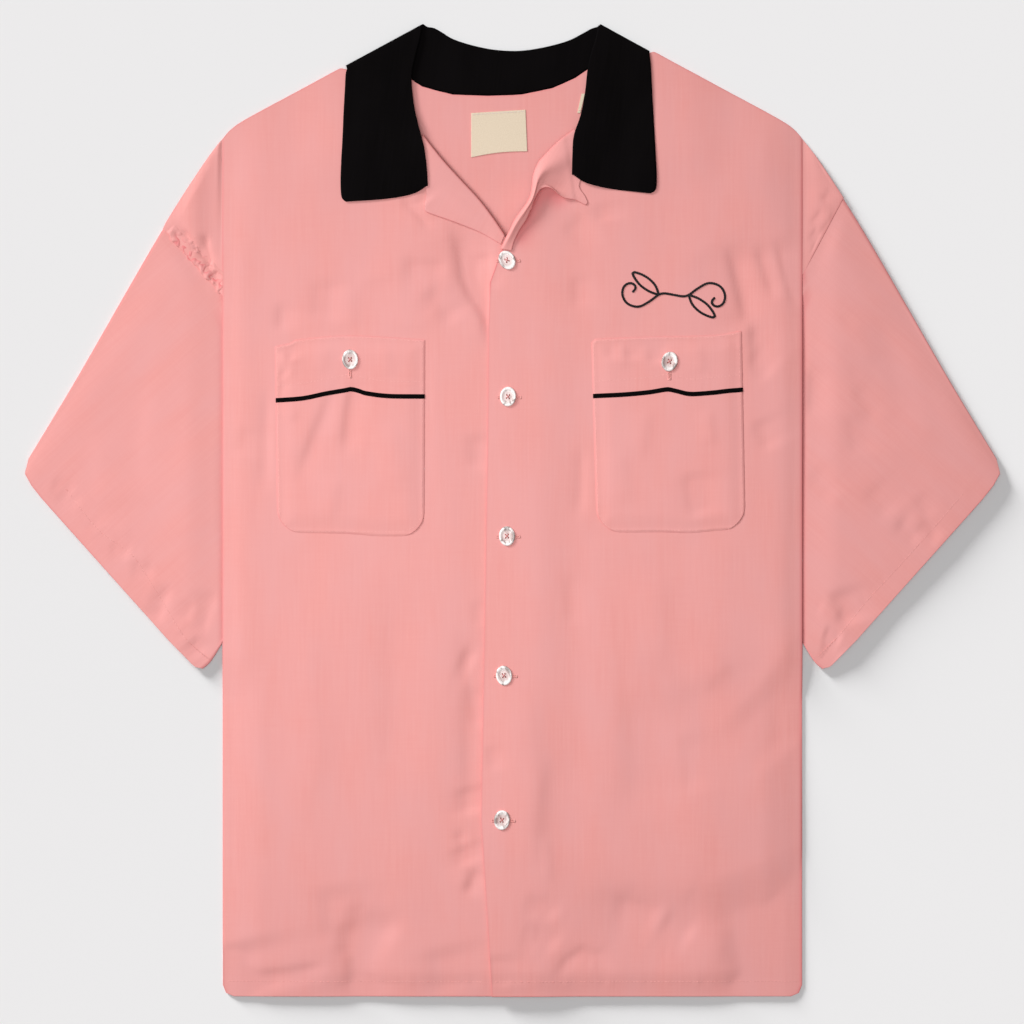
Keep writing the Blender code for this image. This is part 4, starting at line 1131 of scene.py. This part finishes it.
def collarPath(station, side):
    turn, seam, roll, outer, bow = station
    seam, roll, outer = (np.array(p) for p in (seam, roll, outer))
    away = unit(roll - (seam + outer) / 2)
    beside = leftOf(away) * -side
    radius = ply / 2
    centre = roll - away * (radius + cloth["wall"] / 2)
    sine, cosine = math.sin(math.radians(turn)), math.cos(math.radians(turn))
    standOut = unit(leftOf(roll - seam)) * -side
    fallOut = unit(leftOf(outer - roll)) * side
    points = []

    def add(p, outward, times, onto=None):
        lift = 0.0 if turn else float(leafZ(*(p if onto is None else onto))) - shoulderFold - 3 * radius
        points.append((*(p + outward * sine * radius * times), shoulderFold + cosine * radius * times + lift))

    for f in (0.0, 0.5, 1.0):
        add(seam + (centre - seam) * f, standOut, 1)
    for angle in np.radians([45, 90, 135]):
        add(centre + away * math.sin(angle) * radius, beside, 2 - math.cos(angle), centre)
    for f in (0.0, 0.14, 0.34, 0.56, 0.78, 1.0):
        add(centre + (outer - centre) * f - (0, bow * math.sin(math.pi * f**0.6)), fallOut, 3)
    return [(x, y, max(z, tableMiddle + 0.05)) for x, y, z in points]


def makeCollar():
    right, left = ([collarPath(station, side) for station in collarStations[side]] for side in (-1, 1))
    rows = refine(np.array(right + left[::-1]), 5)
    # painted shade along the collar's edges
    return clothPiece("collar_cloth", rows, black, paintedEdgeShade(rows), "collar", turn=0.12)


# Lift is how high a revere stands, from its lower end up and from its roll across to its free edge
reveres = {
    "right": {
        "roll": [
            (-6.4, 608.0), (-15.7, 621.9), (-27.1, 636.8), (-40.9, 651.7), (-56.4, 668.8), (-71.5, 688.0),
        ],
        "free": [
            (-9.4, 600.8), (-24.9, 609.9), (-38.6, 615.7), (-52.4, 620.8), (-68.4, 626.5), (-70.0, 629.4),
        ],
        "gorge": [
            (-71.5, 688.0), (-77.0, 672.0), (-75.0, 656.0), (-68.6, 645.0), (-69.6, 636.0), (-70.0, 629.4),
        ],
        "lift": [
            (0, 0, 0, 0, 0), (0, 0.1, 0.2, 0.2, 0.1), (0, 0.3, 0.4, 0.3, 0.3), (0, 0.2, 0.1, 0, 0.2),
            (0, 0, 0, 0, 0),
        ],
        "seamStep": 0.0,
    },
    "left": {
        "roll": [
            (-9.6, 597.0), (-4.4, 607.6), (2.4, 621.4), (12.4, 635.7), (15.1, 644.8), (16.3, 655.2),
            (20.3, 665.4), (27.1, 673.4), (37.4, 683.7), (49.4, 692.8),
        ],
        "free": [
            (-0.9, 595.8), (0.9, 602.5), (5.3, 611.7), (10.4, 619.5), (13.2, 625.4), (17.2, 635.7),
            (20.9, 642.5), (23.7, 645.0), (28.3, 645.7), (32.9, 643.7), (37.4, 639.7), (42.0, 637.4),
            (50.0, 636.2), (55.7, 633.4), (58.6, 632.2), (59.9, 634.5),
        ],
        "gorge": [(49.4, 692.8), (57.0, 674.0), (55.0, 656.0), (53.0, 647.0), (57.4, 640.0), (59.9, 634.5)],
        "lift": [
            (0.2, 0.5, 0.4, 0.2, 0.1), (0.4, 3.6, 3.0, 2.2, 1.4), (0.6, 6.4, 5.8, 4.7, 3.5),
            (0.8, 6.6, 6.3, 5.5, 4.7), (0.9, 4.6, 3.4, 3.0, 3.9), (0.6, 2.6, 1.0, 0.4, 0.8), (0, 0, 0, 0, 0),
        ],
        "seamStep": 0.45,  # the facing's end lies under the seam
    },
}


def softInterp(at, values):
    line = fineLine(np.stack([np.linspace(0, 1, len(values)), values], axis=-1))
    return np.interp(at, line[:, 0], line[:, 1])


def makeRevere(node, shape, zOf):
    up, across = edgeSteps(110.0, 1.9), edgeSteps(60.0, 2.4)
    ends = along([shape["roll"][0], shape["free"][0]], across), along(fineLine(shape["gorge"]), across)
    grid = patch(*ends, along(fineLine(shape["roll"]), up), along(fineLine(shape["free"]), up), across, up)
    rows = raised(grid, zOf)
    rise = fineLine(np.array(shape["lift"], float))
    byRow = np.stack([np.interp(up, np.linspace(0, 1, len(rise)), column) for column in rise.T], axis=-1)
    rows[..., 2] += 0.8 + np.array([softInterp(across, row) for row in byRow])
    pastSeam = rows[..., 0] - 47.6 + (rows[..., 1] - 646) * 0.16
    rows[..., 2] += shape["seamStep"] * (1 - smooth(pastSeam / 1.2))
    rows[..., 2] -= 0.6 * turnedDown(edgeDistance(rows, "l"), 2.0)
    # painted shade along the roll and, less, along the free edge
    paintedShade = paintedEdgeShade(rows, "l") + paintedEdgeShade(rows, "r", 0.5)
    return clothPiece(node + "_cloth", rows, pink, paintedShade, node, turn=0.5, shift=900.0)


pockets = {
    "right": {
        "sides": {"left": (-189.6, -187.4), "right": (-69.8, -70.4)},  # at the top and at the bottom
        "top": [
            (-190, 519), (-184, 520.5), (-175, 522.6), (-170, 525), (-128.6, 528), (-72.4, 524.8), (-69, 522),
        ],
        "band": [
            (-190, 476.2), (-167.6, 477.8), (-149.2, 481.6), (-134, 484.2), (-128.6, 485.2), (-122, 483.6),
            (-116.4, 481.8), (-98, 479.6), (-69, 479.4),
        ],
        "bottom": [(-190, 371), (-134.8, 370), (-104, 368), (-69, 368.6)],
        "button": (-129.5, 508.8, 5),
        "folds": [
            (4.0, 0.5, (-134, 490), (-139, 440)), (4.0, 0.45, (-148, 478), (-172, 428)),
            (5.0, 0.4, (-142, 418), (-148, 380)), (3.0, 0.4, (-172, 470), (-178, 460)),
            (3.4, -0.5, (-126, 494), (-129, 466), (-132, 430)),
            (3.4, -0.45, (-138, 494), (-156, 452), (-172, 408)),
            (3.5, 0.4, (-176, 518), (-180, 492)), (3.5, 0.3, (-150, 522), (-154, 498)),
            (3.5, 0.3, (-104, 520), (-100, 494)), (6.0, 0.35, (-96, 460), (-92, 400)),
            (2.2, -0.5, (-182, 518), (-176, 508)), (2.0, 0.5, (-186, 514), (-180, 506)),
            (2.0, -0.4, (-186, 500), (-180, 496)), (2.0, -0.4, (-187, 488), (-180, 486)),
        ],
    },
    "left": {
        "sides": {"left": (63.0, 67.4), "right": (183.0, 186.0)},
        "top": [
            (62, 522), (66, 524.2), (70, 525.6), (114, 527.2), (160, 528.4), (177, 531), (182, 531.6),
            (184, 529),
        ],
        "band": [
            (62, 479.6), (88, 480.8), (108, 482.6), (119, 484.4), (124.4, 485), (131, 483.6), (142, 481.3),
            (160, 482.4), (172, 483.8), (187, 485),
        ],
        "bottom": [(62, 372), (90, 371), (116, 371.2), (142, 370.6), (160, 372.2), (187, 374)],
        "button": (125.2, 507.2, -16),
        "folds": [
            (3.4, -0.4, (94, 525), (94, 508)), (3.4, -0.45, (112, 527), (112, 505)),
            (3.4, -0.35, (78, 525), (78, 508)), (3.0, 0.4, (86, 524), (87, 500)),
            (3.0, 0.45, (156, 470), (160, 438)), (6.0, -0.4, (142, 420), (148, 380)),
            (4.0, 0.35, (108, 472), (102, 430)), (5.0, 0.3, (84, 440), (88, 390)),
            (3.0, 0.35, (146, 522), (150, 496)), (2.0, -0.4, (174, 528), (180, 520)),
        ],
    },
    "corner": 19.0, "piping": 3.4, "wall": 0.4, "pipingWall": 0.6,
    "width": 118.0, "bandHeight": 44.0,
    "puff": 0.85,  # how far its middle stands off the front
    "foldDepth": 1.3, "pucker": 0.07,
    "edgeDown": 0.34, "ridge": 0.12,  # pressed down at its edge, and up along the stitches beside it
    "sewnIn": 1.8,  # from its edge to the stitches
    "bandStitch": 12.0,  # from the band's seam up
    "drawnIn": {"thick": 0.09, "lift": 0.17},  # its stitches are pulled into the thinner wall
    "buttonholeDown": 5.0,  # from the button's middle to the hole's
}


def lineY(pocket, which, x):
    line = fineLine(pocket[which], 6)
    return np.interp(x, line[:, 0], line[:, 1])


def pocketSide(pocket, which, y):
    top, bottom = pocket["sides"][which]
    return bottom + (top - bottom) * np.clip((y - 370) / 155, 0, 1)


def pocketZ(pocket, zOf):
    def height(x, y):
        sideGap = np.minimum(x - pocketSide(pocket, "left", y), pocketSide(pocket, "right", y) - x)
        endGap = np.minimum(lineY(pocket, "top", x) - y, y - lineY(pocket, "bottom", x))
        inside = np.minimum(sideGap, endGap)
        rise = pockets["puff"] * smooth(inside / 15)
        rise = rise + pockets["foldDepth"] * creases(x, y, pocket["folds"]) * smooth(inside / 4)
        wave = np.sin(y / 1.25 + 1.4 * np.sin(y / 5.1)) * bell(sideGap, 3.6)
        wave += np.sin(x / 1.3 + 1.4 * np.sin(x / 4.6)) * bell(endGap, 3.2)
        pressed = pockets["edgeDown"] * (1 - smooth(inside / 1.6))
        pressed = pressed - pockets["ridge"] * bell(inside - 1.7, 0.8)
        return zOf(x, y) + cloth["sewnOn"] - pressed + softMax(rise + pockets["pucker"] * wave, -0.04, 0.1)

    return height


def pocketGrid(pocket, low, high, up, across):
    # low and high give the heights of a piece's two edges at any x
    rows = []
    corner = pockets["corner"]
    for t in up:
        y, inset = 450, 0
        for _ in range(5):
            left, right = pocketSide(pocket, "left", y) + inset, pocketSide(pocket, "right", y) - inset
            x = left + (right - left) * across
            row = np.stack([x, y + 0 * x], axis=-1)
            y = low(x) + (high(x) - low(x)) * t
            depth = np.clip(corner - y + lineY(pocket, "bottom", x), 0, corner)
            inset = corner - np.sqrt(corner**2 - depth**2)
        rows.append(row)
    return np.array(rows)


def makePocket(side, zOf):
    # its body, its top band and the piping between them
    pocket = pockets[side]
    height = pocketZ(pocket, zOf)
    across = edgeSteps(pockets["width"], 2.6)
    upBand = edgeSteps(pockets["bandHeight"], 2.2)

    def edge(which, off=0.0):
        return lambda x: lineY(pocket, which, x) + off

    turned = 0.18 * (1 - np.cos(np.linspace(0, math.pi / 2, 16)))
    upBody = np.concatenate([turned, np.linspace(0.18, 0.985, 36)[1:], [0.99, 0.9965, 1.0]])
    half = pockets["piping"] / 2
    made = []
    for name, node, low, high, up, edges in (
        ("pocket_body", "pocket", edge("bottom"), edge("band", 0.1 - half), upBody, "lrb"),
        ("pocket_top", "pocket_band", edge("band", half - 0.1), edge("top"), upBand, "lrt"),
    ):
        rows = raised(pocketGrid(pocket, low, high, up, across), height)
        # painted shade along the stitched edges
        paintedShade, node = 0.6 * paintedEdgeShade(rows, edges), f"{node}_{side}"
        made.append(clothPiece(f"{name}_{side}", rows, pink, paintedShade, node, wall=pockets["wall"], shift=1300.0))
    up = np.linspace(0, 1, 7)
    rows = raised(pocketGrid(pocket, edge("band", -half), edge("band", half), up, across), height)
    rows[..., 2] += 0.1 + 0.3 * np.sqrt(1 - (2 * up - 1)[:, None] ** 2 * 0.96)
    settings = {"wall": pockets["pipingWall"], "turn": 1.57, "shift": 20.0}
    return [*made, clothPiece(f"piping_{side}", rows, black, 0.0, f"pocket_piping_{side}", **settings)]


labels = {
    "neck": [(-33.0, 706.0), (10.4, 708.6), (11.8, 675.4), (-33.0, 670.6)],
    "care": [(55.2, 721.5), (57.8, 721.5), (54.2, 706.0), (51.8, 706.0)],
    "wall": 0.4,
}


def onBack(x, y):
    return backZ(x, y) + cloth["sewnOn"]


def makeLabel(node, corners, bow):
    topLeft, topRight, lowRight, lowLeft = (np.array(c) for c in corners)
    s = edgeSteps(np.linalg.norm(topRight - topLeft) + 8, 1.6)
    t = edgeSteps(np.linalg.norm(topLeft - lowLeft) + 8, 1.6)[:, None, None]
    low = lowLeft + (lowRight - lowLeft) * s[:, None]
    low[:, 1] += bow * np.sin(math.pi * s)
    high = topLeft + (topRight - topLeft) * s[:, None]
    rows = raised((1 - t) * low[None] + t * high[None], onBack)
    rows[..., 2] += bow * 0.12 * np.sin(math.pi * s)[None] * (1 - t[..., 0])
    return clothPiece(node + "_tape", rows, tape, 0.0, node, wall=labels["wall"])


sewing = {
    "pitch": 2.8, "length": 2.3, "width": 0.42, "thick": 0.12, "lift": cloth["wall"] / 2 + 0.02,
    "swell": [(0.0, 0.35), (0.2, 0.9), (0.5, 1.0), (0.8, 0.9), (1.0, 0.35)],  # along a stitch
}


def around(sides):
    return [(math.cos(a), math.sin(a)) for a in np.linspace(0, 2 * math.pi, sides + 1)[:-1]]


def stitchRow(name, line, zOf, mat=None, side=1.0, **change):
    # one small rounded stitch after another along a line, half sunk in the cloth
    size = {**sewing, **change}
    line = fineLine(line, 6) if len(line) > 2 else np.array(line, float)
    whole = runAlong(line)[-1]
    count = max(2, int(whole / size["pitch"]))
    middle = (np.arange(count) + 0.5) / count
    reach = size["length"] / 2 / whole
    verts, faces = [], []
    for a, b in zip(along(line, middle - reach), along(line, middle + reach)):
        way = unit(b - a)
        beside = leftOf(way)
        faces += threadFaces(len(size["swell"]), 6, len(verts))
        for f, swell in size["swell"]:
            p = a + (b - a) * f
            z = float(zOf(*p)) + side * size["lift"]
            for across, up in around(6):
                q = p + beside * across * size["width"] / 2 * swell
                verts.append((*q, z + up * size["thick"] * swell))
    return standFor(meshObject(name, verts, faces, mat or pinkThread))


button = {
    "wide": 12.8, "high": 15.8, "hole": 1.5, "holeOff": 1.9, "rest": 0.2,
    # the cross of thread: its radius, and how narrow, high, bowed and sunk at its ends it is
    "thread": 0.3, "narrow": 0.85, "over": 0.96, "bow": 0.2, "sunk": 0.7,
}
# x, y and tilt
frontButtons = [(-4.4, 588.0, 32), (-3.6, 479.2, -4), (-4.4, 368.0, 3), (-6.8, 256.8, 8), (-8.4, 141.6, -6)]


def buttonMesh():
    # a turned disc: rounded back, raised rim and a dished face with four holes
    radius = button["high"] / 2
    profile = [  # share of the radius from the middle, and mm up
        (0.0, 0.0), (0.7, 0.0), (0.84, 0.04), (0.94, 0.2), (0.99, 0.5), (1.0, 0.8), (0.985, 1.15),
        (0.94, 1.42), (0.87, 1.56), (0.79, 1.54), (0.72, 1.38), (0.65, 1.16), (0.57, 1.0), (0.45, 0.94),
        (0.0, 0.92),
    ]
    mesh = bpy.data.meshes.new("buttonProfile")
    edges = [(i, i + 1) for i in range(len(profile) - 1)]
    mesh.from_pydata([(x * radius * mm, 0, z * mm) for x, z in profile], edges, [])
    disc = addObject("buttonDisc", mesh)
    screw = disc.modifiers.new("turn", "SCREW")
    screw.steps = screw.render_steps = 56
    screw.use_merge_vertices = True
    screw.merge_threshold = 0.00001
    holes = []
    for angle in np.radians([45, 135, 225, 315]):
        off, bore = button["holeOff"] * mm, button["hole"] / 2 * mm
        place = (math.cos(angle) * off, math.sin(angle) * off, 0)
        bpy.ops.mesh.primitive_cylinder_add(vertices=14, radius=bore, depth=0.01, location=place)
        holes.append(bpy.context.object)
        cut = disc.modifiers.new("hole", "BOOLEAN")
        cut.operation = "DIFFERENCE"
        cut.object = holes[-1]
    bpy.context.view_layer.update()
    made = bpy.data.meshes.new_from_object(disc.evaluated_get(bpy.context.evaluated_depsgraph_get()))
    for obj in [disc, *holes]:
        bpy.data.objects.remove(obj)
    oval = (button["wide"] / button["high"], 1, 1)
    reworked(made, lambda bm: bmesh.ops.scale(bm, vec=oval, verts=bm.verts))
    made.set_sharp_from_angle(angle=math.radians(50))
    made.materials.clear()
    made.materials.append(pearl)
    return made


def makeButton(node, mesh, x, y, zOf, tilt):
    z = float(zOf(np.array(x), np.array(y))) + button["rest"]
    turn = math.radians(tilt)
    obj = addObject(node + "_pearl", mesh)
    obj.location = (x * mm, (y - hemToMiddle) * mm, z * mm)
    obj.rotation_euler = (0, 0, turn)
    off = button["holeOff"] / math.sqrt(2)
    lines = []
    for slant in (1, -1):
        line = []
        for f in np.linspace(0, 1, 7):
            px, py = off * (2 * f - 1) * button["narrow"], off * (2 * f - 1) * slant
            lift = button["over"] + button["bow"] * math.sin(math.pi * f) ** 0.5
            lift -= button["sunk"] if f in (0, 1) else 0
            qx = px * math.cos(turn) - py * math.sin(turn)
            qy = px * math.sin(turn) + py * math.cos(turn)
            line.append((x + qx, y + qy, z + lift))
        lines.append(line)
    standFor(obj, node)
    standFor(tubes(node + "_pearl_thread", lines, button["thread"], roseThread, 6))


def tubes(name, lines, radius, mat, sides):
    # round threads along lines of points in space
    verts, faces = [], []
    for line in np.array(lines, float):
        faces += threadFaces(len(line), sides, len(verts))
        for i, p in enumerate(line):
            way = unit(line[min(i + 1, len(line) - 1)] - line[max(i - 1, 0)])
            beside = unit(np.cross(way, (0, 0, 1)) if abs(way[2]) < 0.9 else np.cross(way, (0, 1, 0)))
            over = np.cross(beside, way)
            verts += [p + radius * (beside * across + over * up) for across, up in around(sides)]
    return meshObject(name, verts, faces, mat)


def threadBar(a, b, zOf, rise):
    # a short thread that arches over the cloth from a to b
    spots = ((a, 0.0), ((a + b) / 2, rise), (b, 0.0))
    return [(*p, float(zOf(*p)) + cloth["wall"] / 2 + up) for p, up in spots]


buttonhole = {
    "half": 9.0, "slit": 0.5, "bar": 0.95, "pitch": 0.55, "tack": 2.6, "thread": 0.24,
    "fromButton": (1.0, -0.6),  # its middle from the button's
}


def makeButtonhole(name, x, y, upright, zOf):
    # a worked slit: bars of thread on both sides, and a tack at its end
    half = buttonhole["half"]
    way, tackAt = (np.array([0.0, 1.0]), -1) if upright else (np.array([1.0, 0.0]), 1)
    beside = leftOf(way)
    middle = np.array([x, y])
    lines = []
    for sign in (-1, 1):
        for f in np.linspace(-half, half, int(half * 2 / buttonhole["pitch"])):
            a = middle + way * f + beside * sign * buttonhole["slit"] / 2
            lines.append(threadBar(a, a + beside * sign * buttonhole["bar"], zOf, 0.22))
    for k in (-0.3, 0.1, 0.5):
        c = middle + way * tackAt * (half + k)
        across = beside * buttonhole["tack"] / 2
        lines.append(threadBar(c - across, c + across, zOf, 0.3))
    return standFor(tubes(name, lines, buttonhole["thread"], pinkThread, 5))


# Chain stitched scroll over the pocket

scroll = {
    # half of a running scroll about its middle; the other half is the same, turned round
    "middle": (128.6, 560.5),
    "half": [
        [
            (-33, 2), (-30, 6), (-34, 9.5), (-39.5, 7), (-41, 0), (-37, -7), (-28, -9.5), (-19, -5), (-10, 1),
            (0, 0),
        ],
        [(-12, 0), (-15, 8), (-23, 15), (-33, 18), (-28, 9), (-20, 3), (-12, 0)],
    ],
    "pitch": 1.9, "width": 1.9, "leg": 0.55, "thick": 0.36,
    "link": [(0.0, 0.1, 0.0), (0.3, 0.42, 0.5), (0.65, 0.5, 0.9), (1.0, 0.12, 0.6)],  # along, aside and up
}


def makeScroll(zOf):
    verts, faces = [], []
    middle = np.array(scroll["middle"])
    for line in [middle + np.array(part) * turn for part in scroll["half"] for turn in (1, -1)]:
        path = fineLine(line, 10)
        count = int(runAlong(path)[-1] / scroll["pitch"])
        for i in range(count):
            a, b = along(path, [(i - 0.25) / count, (i + 1.2) / count])
            way = unit(b - a)
            beside = leftOf(way)
            # each chain link: two legs that part in the middle and close at the tip
            for sign in (-1, 1):
                faces += threadFaces(len(scroll["link"]), 6, len(verts))
                for f, spread, up in scroll["link"]:
                    p = a + (b - a) * f + beside * sign * spread * scroll["width"] / 2
                    z = float(zOf(*p)) + cloth["wall"] / 2 + up * 0.4
                    for across, high in around(6):
                        verts.append((*(p + beside * across * scroll["leg"]), z + high * scroll["thick"]))
    return standFor(meshObject("chain_stitch_scroll", verts, faces, blackThread))


def pocketStitches(side):
    pocket = pockets[side]
    height = pocketZ(pocket, frontFlat)
    inset = pockets["sewnIn"]
    turn = pockets["corner"] - inset
    low = lineY(pocket, "bottom", 125 if side == "left" else -130) + inset
    quarter = np.linspace(0, math.pi / 2, 6)
    ends, arcs = [], []
    for which, sign in (("left", 1), ("right", -1)):
        start = pocketSide(pocket, which, 400) + sign * inset
        bend = [(start + sign * turn * (1 - math.cos(a)), low + turn * (1 - math.sin(a))) for a in quarter]
        arcs += bend[::sign]
        ends.append((pocketSide(pocket, which, 525) + sign * inset, 520.0))
    across = np.linspace(ends[0][0] + 1, ends[1][0] - 1, 30)
    lines = {
        "pocket": along([ends[0], *arcs, ends[1]], np.linspace(0, 1, 90)),
        "band": np.stack([across, lineY(pocket, "band", across) + pockets["bandStitch"]], axis=-1),
        "top": np.stack([across, lineY(pocket, "top", across) - inset], axis=-1),
    }
    made = []
    for key, line in lines.items():
        made.append(stitchRow(f"{key}_stitches_{side}", line, height, **pockets["drawnIn"]))
    x, y, _ = pocket["button"]
    y -= pockets["buttonholeDown"]
    return [*made, makeButtonhole(f"pocket_buttonhole_{side}", x, y, True, height)]


def cuffStitches(name, side):
    def sleeveTop(x, y):
        return softMax(sleeveZ(side, x, y), tableMiddle + sleeveLook["lowest"])

    return [stitchRow(f"cuff_stitches_{name}", [(x * side, y) for x, y in cuffStitch[side]], sleeveTop)]


def hemUnderside(x, y):
    # the back's stitches are on the side that lies on the table
    return tableMiddle + 0.06


# Each side of the shirt: which way it lies, its front's edge and the height of its front
sides = {"right": (-1, underEdge, frontZ), "left": (1, overEdge, overFrontZ)}
back = makeBack()
print("back made")
fronts = {name: makeFront(f"front_{name}", *side) for name, side in sides.items()}
gathers = makeSeamBand("armhole_gathers_right", -1, frontZ)
print("fronts made")
sleeves = {name: makeSleeve(f"sleeve_{name}", side[0]) for name, side in sides.items()}
print("sleeves made")
collar = makeCollar()
turnedOut = {name: makeRevere(f"revere_{name}", reveres[name], side[2]) for name, side in sides.items()}
print("collar and reveres made")
pocketPieces = {name: makePocket(name, frontFlat) for name in sides}
neckLabel = makeLabel("neck_label", labels["neck"], 1.4)
careTag = makeLabel("care_tag", labels["care"], 0.0)
print("pockets and labels made")

disc = buttonMesh()
for i, (x, y, tilt) in enumerate(frontButtons, 1):
    makeButton(f"button_front_{i}", disc, x, y, overFrontZ, tilt)
for name in sides:
    x, y, tilt = pockets[name]["button"]
    makeButton(f"button_pocket_{name}", disc, x, y, pocketZ(pockets[name], frontFlat), tilt)
print("buttons made")

sewn = {
    "front_right": [
        stitchRow("hem_stitches_right", [(-228, hemY), (-24, hemY)], frontZ),
        stitchRow("care_stitches", [(52.4, 708), (54.8, 708)], onBack), gathers,
    ],
    "front_left": [stitchRow("hem_stitches_left", [(-14, hemY), (228, hemY)], overFrontZ)],
    "back": [stitchRow("hem_stitches_back", [(-226, hemY), (226, hemY)], hemUnderside, side=-1.0)],
}
offX, offY = buttonhole["fromButton"]
for i, (x, y, _) in enumerate(frontButtons, 1):
    sewn["front_left"].append(makeButtonhole(f"buttonhole_{i}", x + offX, y + offY, False, overFrontZ))
sewn["front_left"].append(makeScroll(overFrontZ))
for name in sides:
    sewn[f"pocket_{name}"] = pocketStitches(name)
for name, side in sides.items():
    sewn[f"sleeve_{name}"] = cuffStitches(name, side[0])
labelStitches = stitchRow("label_stitches", [(-32, 704.6), (9.4, 707.2)], onBack, whiteThread)
print("stitches made")
